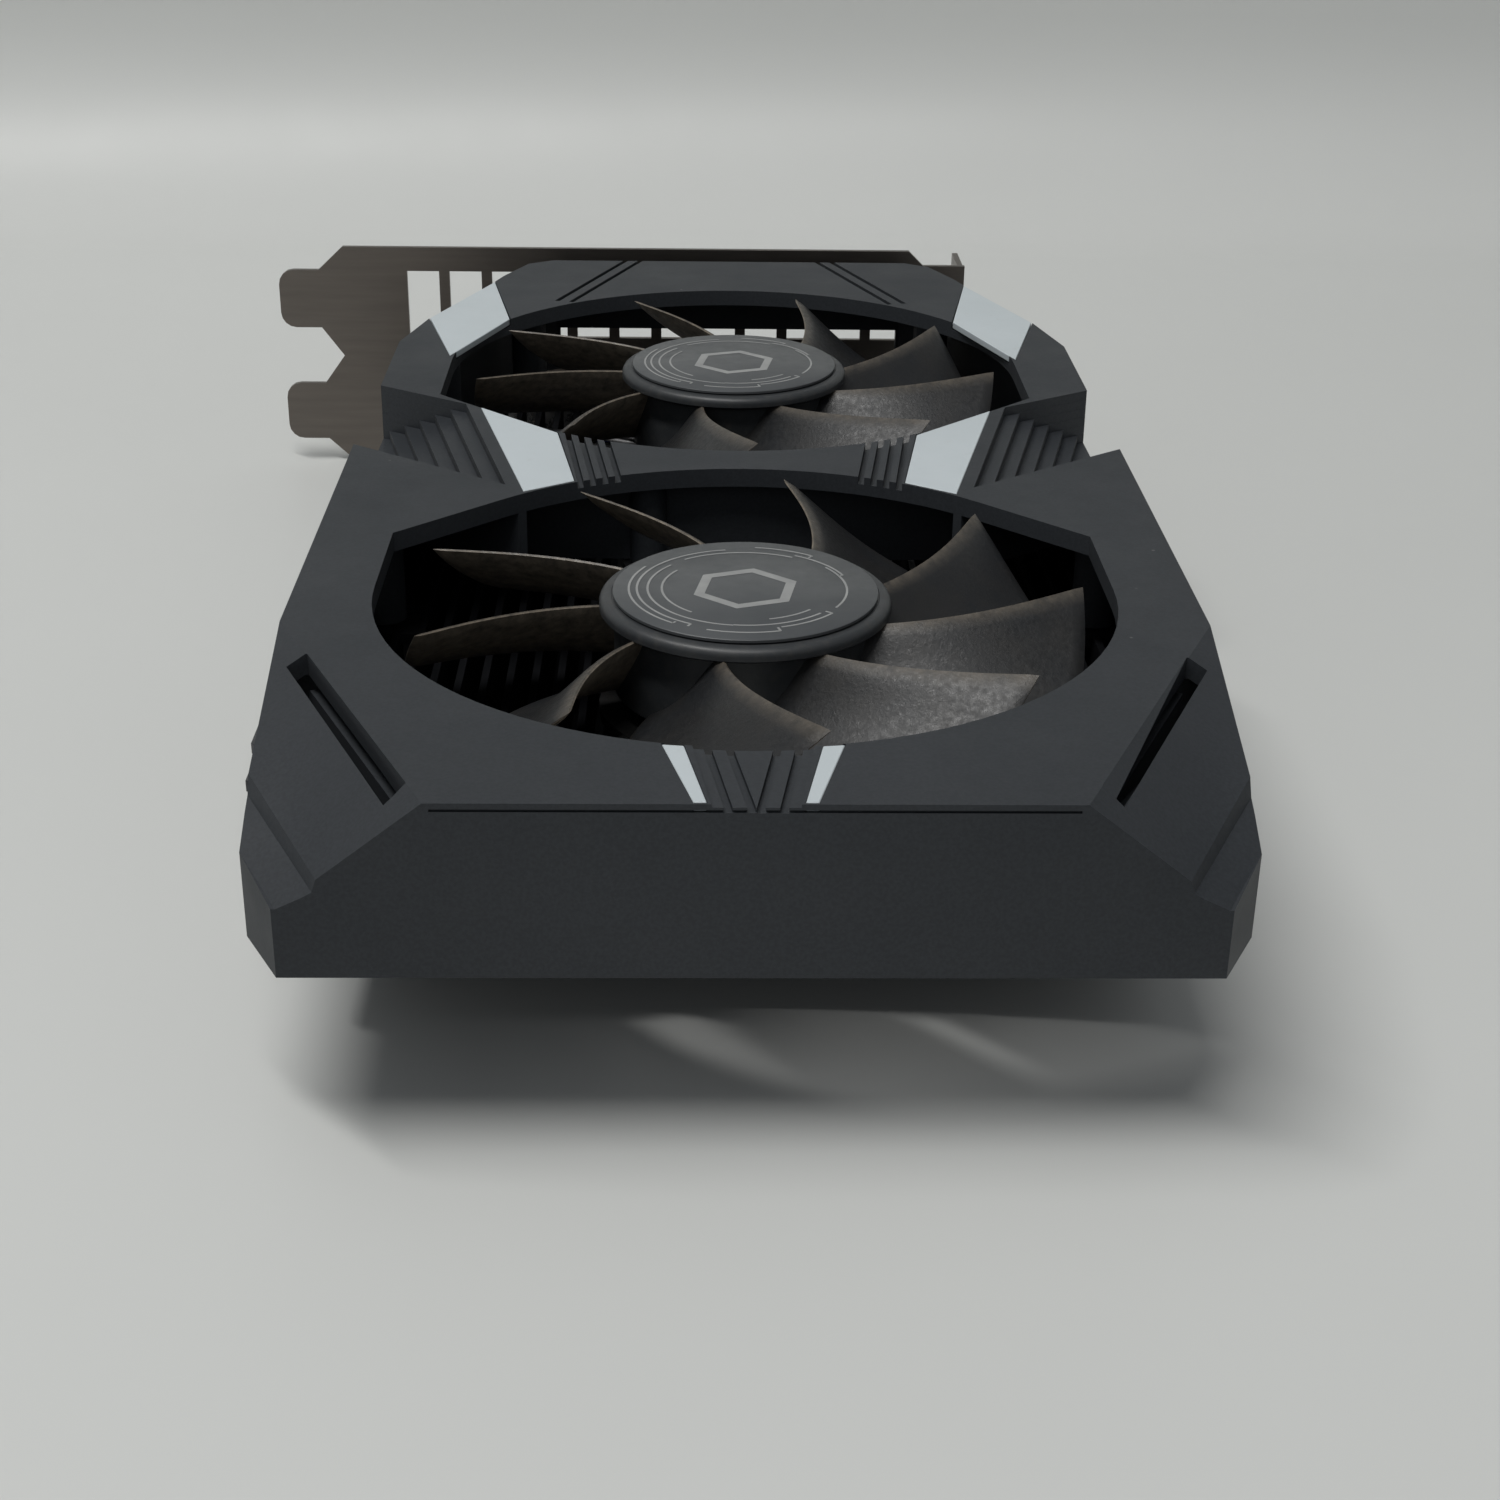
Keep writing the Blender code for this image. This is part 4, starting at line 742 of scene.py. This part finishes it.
SMALL_PARTS = 150
SCATTER_X, SCATTER_Y = (-53, 35), (-10, 140)
END_SHARE = 0.25       # how much of a small part's length each of its metal ends takes
END_PROUD = 0.02
SMALL_EDGE = 0.04
SMALL_SIZES = ((1.0, 0.5, 0.35), (1.6, 0.8, 0.5), (2.0, 1.2, 0.7))     # long, wide, high
CHIP = (-6, 52)
CHIP_ROOM = (33, 32)
SCREWS = [(x, y) for x in (-33, 21) for y in (25, 79)]
SCREW_ROOM = 6
HEADER_X, HEADER_Y = -40, 25     # the fan header lies below both of these
PORTS_Y = 98           # the chokes and the ports lie beyond this
# Solder joints: the first X and the number in a row for each connector, pitch and first row's Y.
JOINT_ROWS = ((-46, 12), (-4, 9), (14, 9))
JOINT_PITCH, JOINT_ROW_PITCH = 1.9, 2.2
JOINT_Y = 146


def place_is_free(x, y, on_back):
    """Whether a small part may have its middle here.

    Both faces keep clear of the cooler's screws. The top face also keeps clear of the chip and its
    memory, the fan header and the end with the chokes and ports, but not of the two capacitors.
    """
    by_chip = abs(x - CHIP[0]) < CHIP_ROOM[0] and abs(y - CHIP[1]) < CHIP_ROOM[1]
    by_header = x < HEADER_X and y < HEADER_Y
    by_ports = y > PORTS_Y
    if not on_back and (by_chip or by_header or by_ports):
        return False
    return all(math.hypot(x - sx, y - sy) >= SCREW_ROOM for sx, sy in SCREWS)


def add_small_part(bodies, ends, x, y, z, size, along_x):
    """A resistor or capacitor: a body between two metal ends."""
    half_long, half_wide = size[0] / 2, size[1] / 2
    cap = END_SHARE * size[0]
    main, cross = (x, y) if along_x else (y, x)
    body = (main - half_long + cap, main + half_long - cap)
    across = (cross - half_wide, cross + half_wide)
    wider = (cross - half_wide - END_PROUD, cross + half_wide + END_PROUD)
    add_box(bodies, *((body, across) if along_x else (across, body)), z)
    for run in ((main - half_long, main - half_long + cap), (main + half_long - cap, main + half_long)):
        add_box(ends, *((run, wider) if along_x else (wider, run)), z)


def make_board_parts():
    """Small resistors, capacitors and solder joints scattered over both faces of the board."""
    board_low, board_high = local_box("pcb")
    top, back = board_high.z, board_low.z
    bodies, ends, dots = bmesh.new(), bmesh.new(), bmesh.new()
    chosen = random.Random(11)
    for k in range(SMALL_PARTS):
        x, y = chosen.uniform(*SCATTER_X), chosen.uniform(*SCATTER_Y)
        on_back = k % 3 > 0
        if not place_is_free(x, y, on_back):
            continue
        size = chosen.choice(SMALL_SIZES)
        z = (back - size[2], back) if on_back else (top, top + size[2])
        add_small_part(bodies, ends, x, y, z, size, chosen.random() < 0.5)
    for start, count in JOINT_ROWS:
        for k in range(count):
            for row in range(2):
                place = (start + JOINT_PITCH * k, JOINT_Y + JOINT_ROW_PITCH * row)
                add_turned(dots, place, [(0, back), (0.75, back), (0.5, back - 0.5), (0, back - 0.7)], 16)
    for name, shape, slot in (("small_parts", bodies, "chip_resin"), ("small_part_ends", ends, "nickel"),
                              ("solder_joints", dots, "nickel")):
        outward(shape)
        bevel(piece(name, shape, "card", slot, None, ROUND), SMALL_EDGE, 1)


DVI_HALF_HIGH = 4.8
DVI_HOLES = 8
DVI_PITCH = 3.0
FIRST_HOLE = -13.4
HOLE_HALF = 0.5
TONGUE_INSET = 1.2     # how far the tongues end inside the mouths
TONGUE_Z = {"hdmi_connector": 7.8, "displayport_connector": 8.0}
PIN_ROWS = {"hdmi_connector": 10.4, "displayport_connector": 12.4}
PINS = 10
PIN_HALF, PIN_LONG, PIN_THICK = 0.2, 4.75, 0.08
PIN_INSET = 1.25
TONGUE_HALF = 0.7


def make_pins():
    """Contacts inside the HDMI and DisplayPort sockets, and squares at the DVI socket's holes."""
    gold = bmesh.new()
    dark = bmesh.new()
    dvi_low, dvi_high = local_box("dvi_connector")
    z = dvi_high.z - DVI_HALF_HIGH
    mouth = dvi_high.y - TONGUE_INSET
    middle_x = (dvi_low.x + dvi_high.x) / 2
    for k in range(DVI_HOLES):
        x = middle_x + FIRST_HOLE + DVI_PITCH * k
        add_box(dark, (x - HOLE_HALF, x + HOLE_HALF), (mouth - PRINT_SUNK, mouth + PRINT_PROUD),
                (z - HOLE_HALF, z + HOLE_HALF))
    for node, width in PIN_ROWS.items():
        low, high = local_box(node)
        z = TONGUE_Z[node] + TONGUE_HALF
        front = high.y - PIN_INSET
        for k in range(PINS):
            x = (low.x + high.x) / 2 - width / 2 + width * (k + 0.5) / PINS
            add_box(gold, (x - PIN_HALF, x + PIN_HALF), (front - PIN_LONG, front), (z, z + PIN_THICK))
    piece("socket_holes", dark, "card", "connector_plastic", None, ROUND)
    piece("socket_pins", gold, "card", "gold", None, ROUND)


# --- studio and camera -------------------------------------------------------------------------

FOCAL_MM = 55.4
SENSOR_MM = 36
CAMERA = Vector((-5.8, -241.5, 134.3))
YAW, PITCH, ROLL = 1.56, 25.62, 0.86


def make_camera():
    data = bpy.data.cameras.new("camera")
    data.lens = FOCAL_MM
    data.sensor_width = SENSOR_MM
    data.clip_start = 0.01
    camera = bpy.data.objects.new("camera", data)
    bpy.context.collection.objects.link(camera)
    turn = (Matrix.Rotation(math.radians(-YAW), 4, "Z") @ Matrix.Rotation(math.radians(90 - PITCH), 4, "X")
            @ Matrix.Rotation(math.radians(ROLL), 4, "Z"))
    camera.matrix_world = Matrix.Translation(ORIGIN + CAMERA * MM) @ turn
    bpy.context.scene.camera = camera


# The table and its wall, in metres.
TABLE_FRONT = -1.6
TABLE_HALF = 2.2
WALL_Y = 0.31
WALL_HIGH = 0.3
CURVE_R = 0.05
CURVE_STEPS = 12


def make_stage():
    """A pale table whose back curves up into a low pale wall close behind the card."""
    shape = bmesh.new()
    run = [(TABLE_FRONT, 0)]
    for k in range(CURVE_STEPS + 1):
        run.append(around((WALL_Y - CURVE_R, CURVE_R), CURVE_R, 90 * k / CURVE_STEPS - 90))
    run.append((WALL_Y, WALL_HIGH))
    left = [shape.verts.new((-TABLE_HALF, y, z)) for y, z in run]
    right = [shape.verts.new((TABLE_HALF, y, z)) for y, z in run]
    for k in range(len(run) - 1):
        shape.faces.new((left[k], right[k], right[k + 1], left[k + 1]))
    mesh = bpy.data.meshes.new("backdrop")
    shape.to_mesh(mesh)
    shape.free()
    mesh.shade_smooth()
    n = Nodes("backdrop")
    n.colour(n.ramp(n.noise(3, 3), (0.3, (0.6, 0.61, 0.595)), (0.7, (0.625, 0.635, 0.62))))
    n.rough(n.ramp(n.noise(20, 3), (0.3, 0.42), (0.7, 0.5)))
    mesh.materials.append(n.material)
    obj = bpy.data.objects.new("backdrop", mesh)
    bpy.context.collection.objects.link(obj)


def area_light(name, place, aim, size, power, colour=(1, 1, 1)):
    data = bpy.data.lights.new(name, "AREA")
    data.shape = "RECTANGLE"
    data.size, data.size_y = size
    data.energy = power
    data.color = colour
    light = bpy.data.objects.new(name, data)
    bpy.context.collection.objects.link(light)
    light.location = place
    light.rotation_euler = (Vector(aim) - Vector(place)).to_track_quat("-Z", "Y").to_euler()


def make_lights():
    area_light("strip", (-0.27, -0.27, 1.05), (0, 0.0, 0), (1.0, 0.08), 8.2, (1.0, 0.99, 0.97))
    area_light("overhead", (-0.3, -0.1, 1.3), (0, 0.0, 0), (1.4, 0.8), 2.2, (0.98, 0.99, 1.0))
    area_light("front_fill", (-0.5, -1.3, 0.8), (0, 0, 0.02), (1.4, 0.9), 0.8, (0.95, 0.97, 1.0))
    world = bpy.data.worlds.new("studio")
    world.use_nodes = True
    background = world.node_tree.nodes["Background"]
    background.inputs["Color"].default_value = (0.92, 0.96, 1.0, 1)
    background.inputs["Strength"].default_value = 0.19
    bpy.context.scene.world = world
    bpy.context.scene.view_settings.view_transform = "Standard"


def main():
    make_camera()
    make_stage()
    make_lights()
    dress_cad_nodes()
    for name in frame["nodes"]:
        soften_cad(name)
    for name in FANS:
        make_blades(name)
        make_hub(name)
        make_label(name)
        make_wires(name)
    make_inlays()
    make_contacts()
    make_board_parts()
    make_pins()


main()
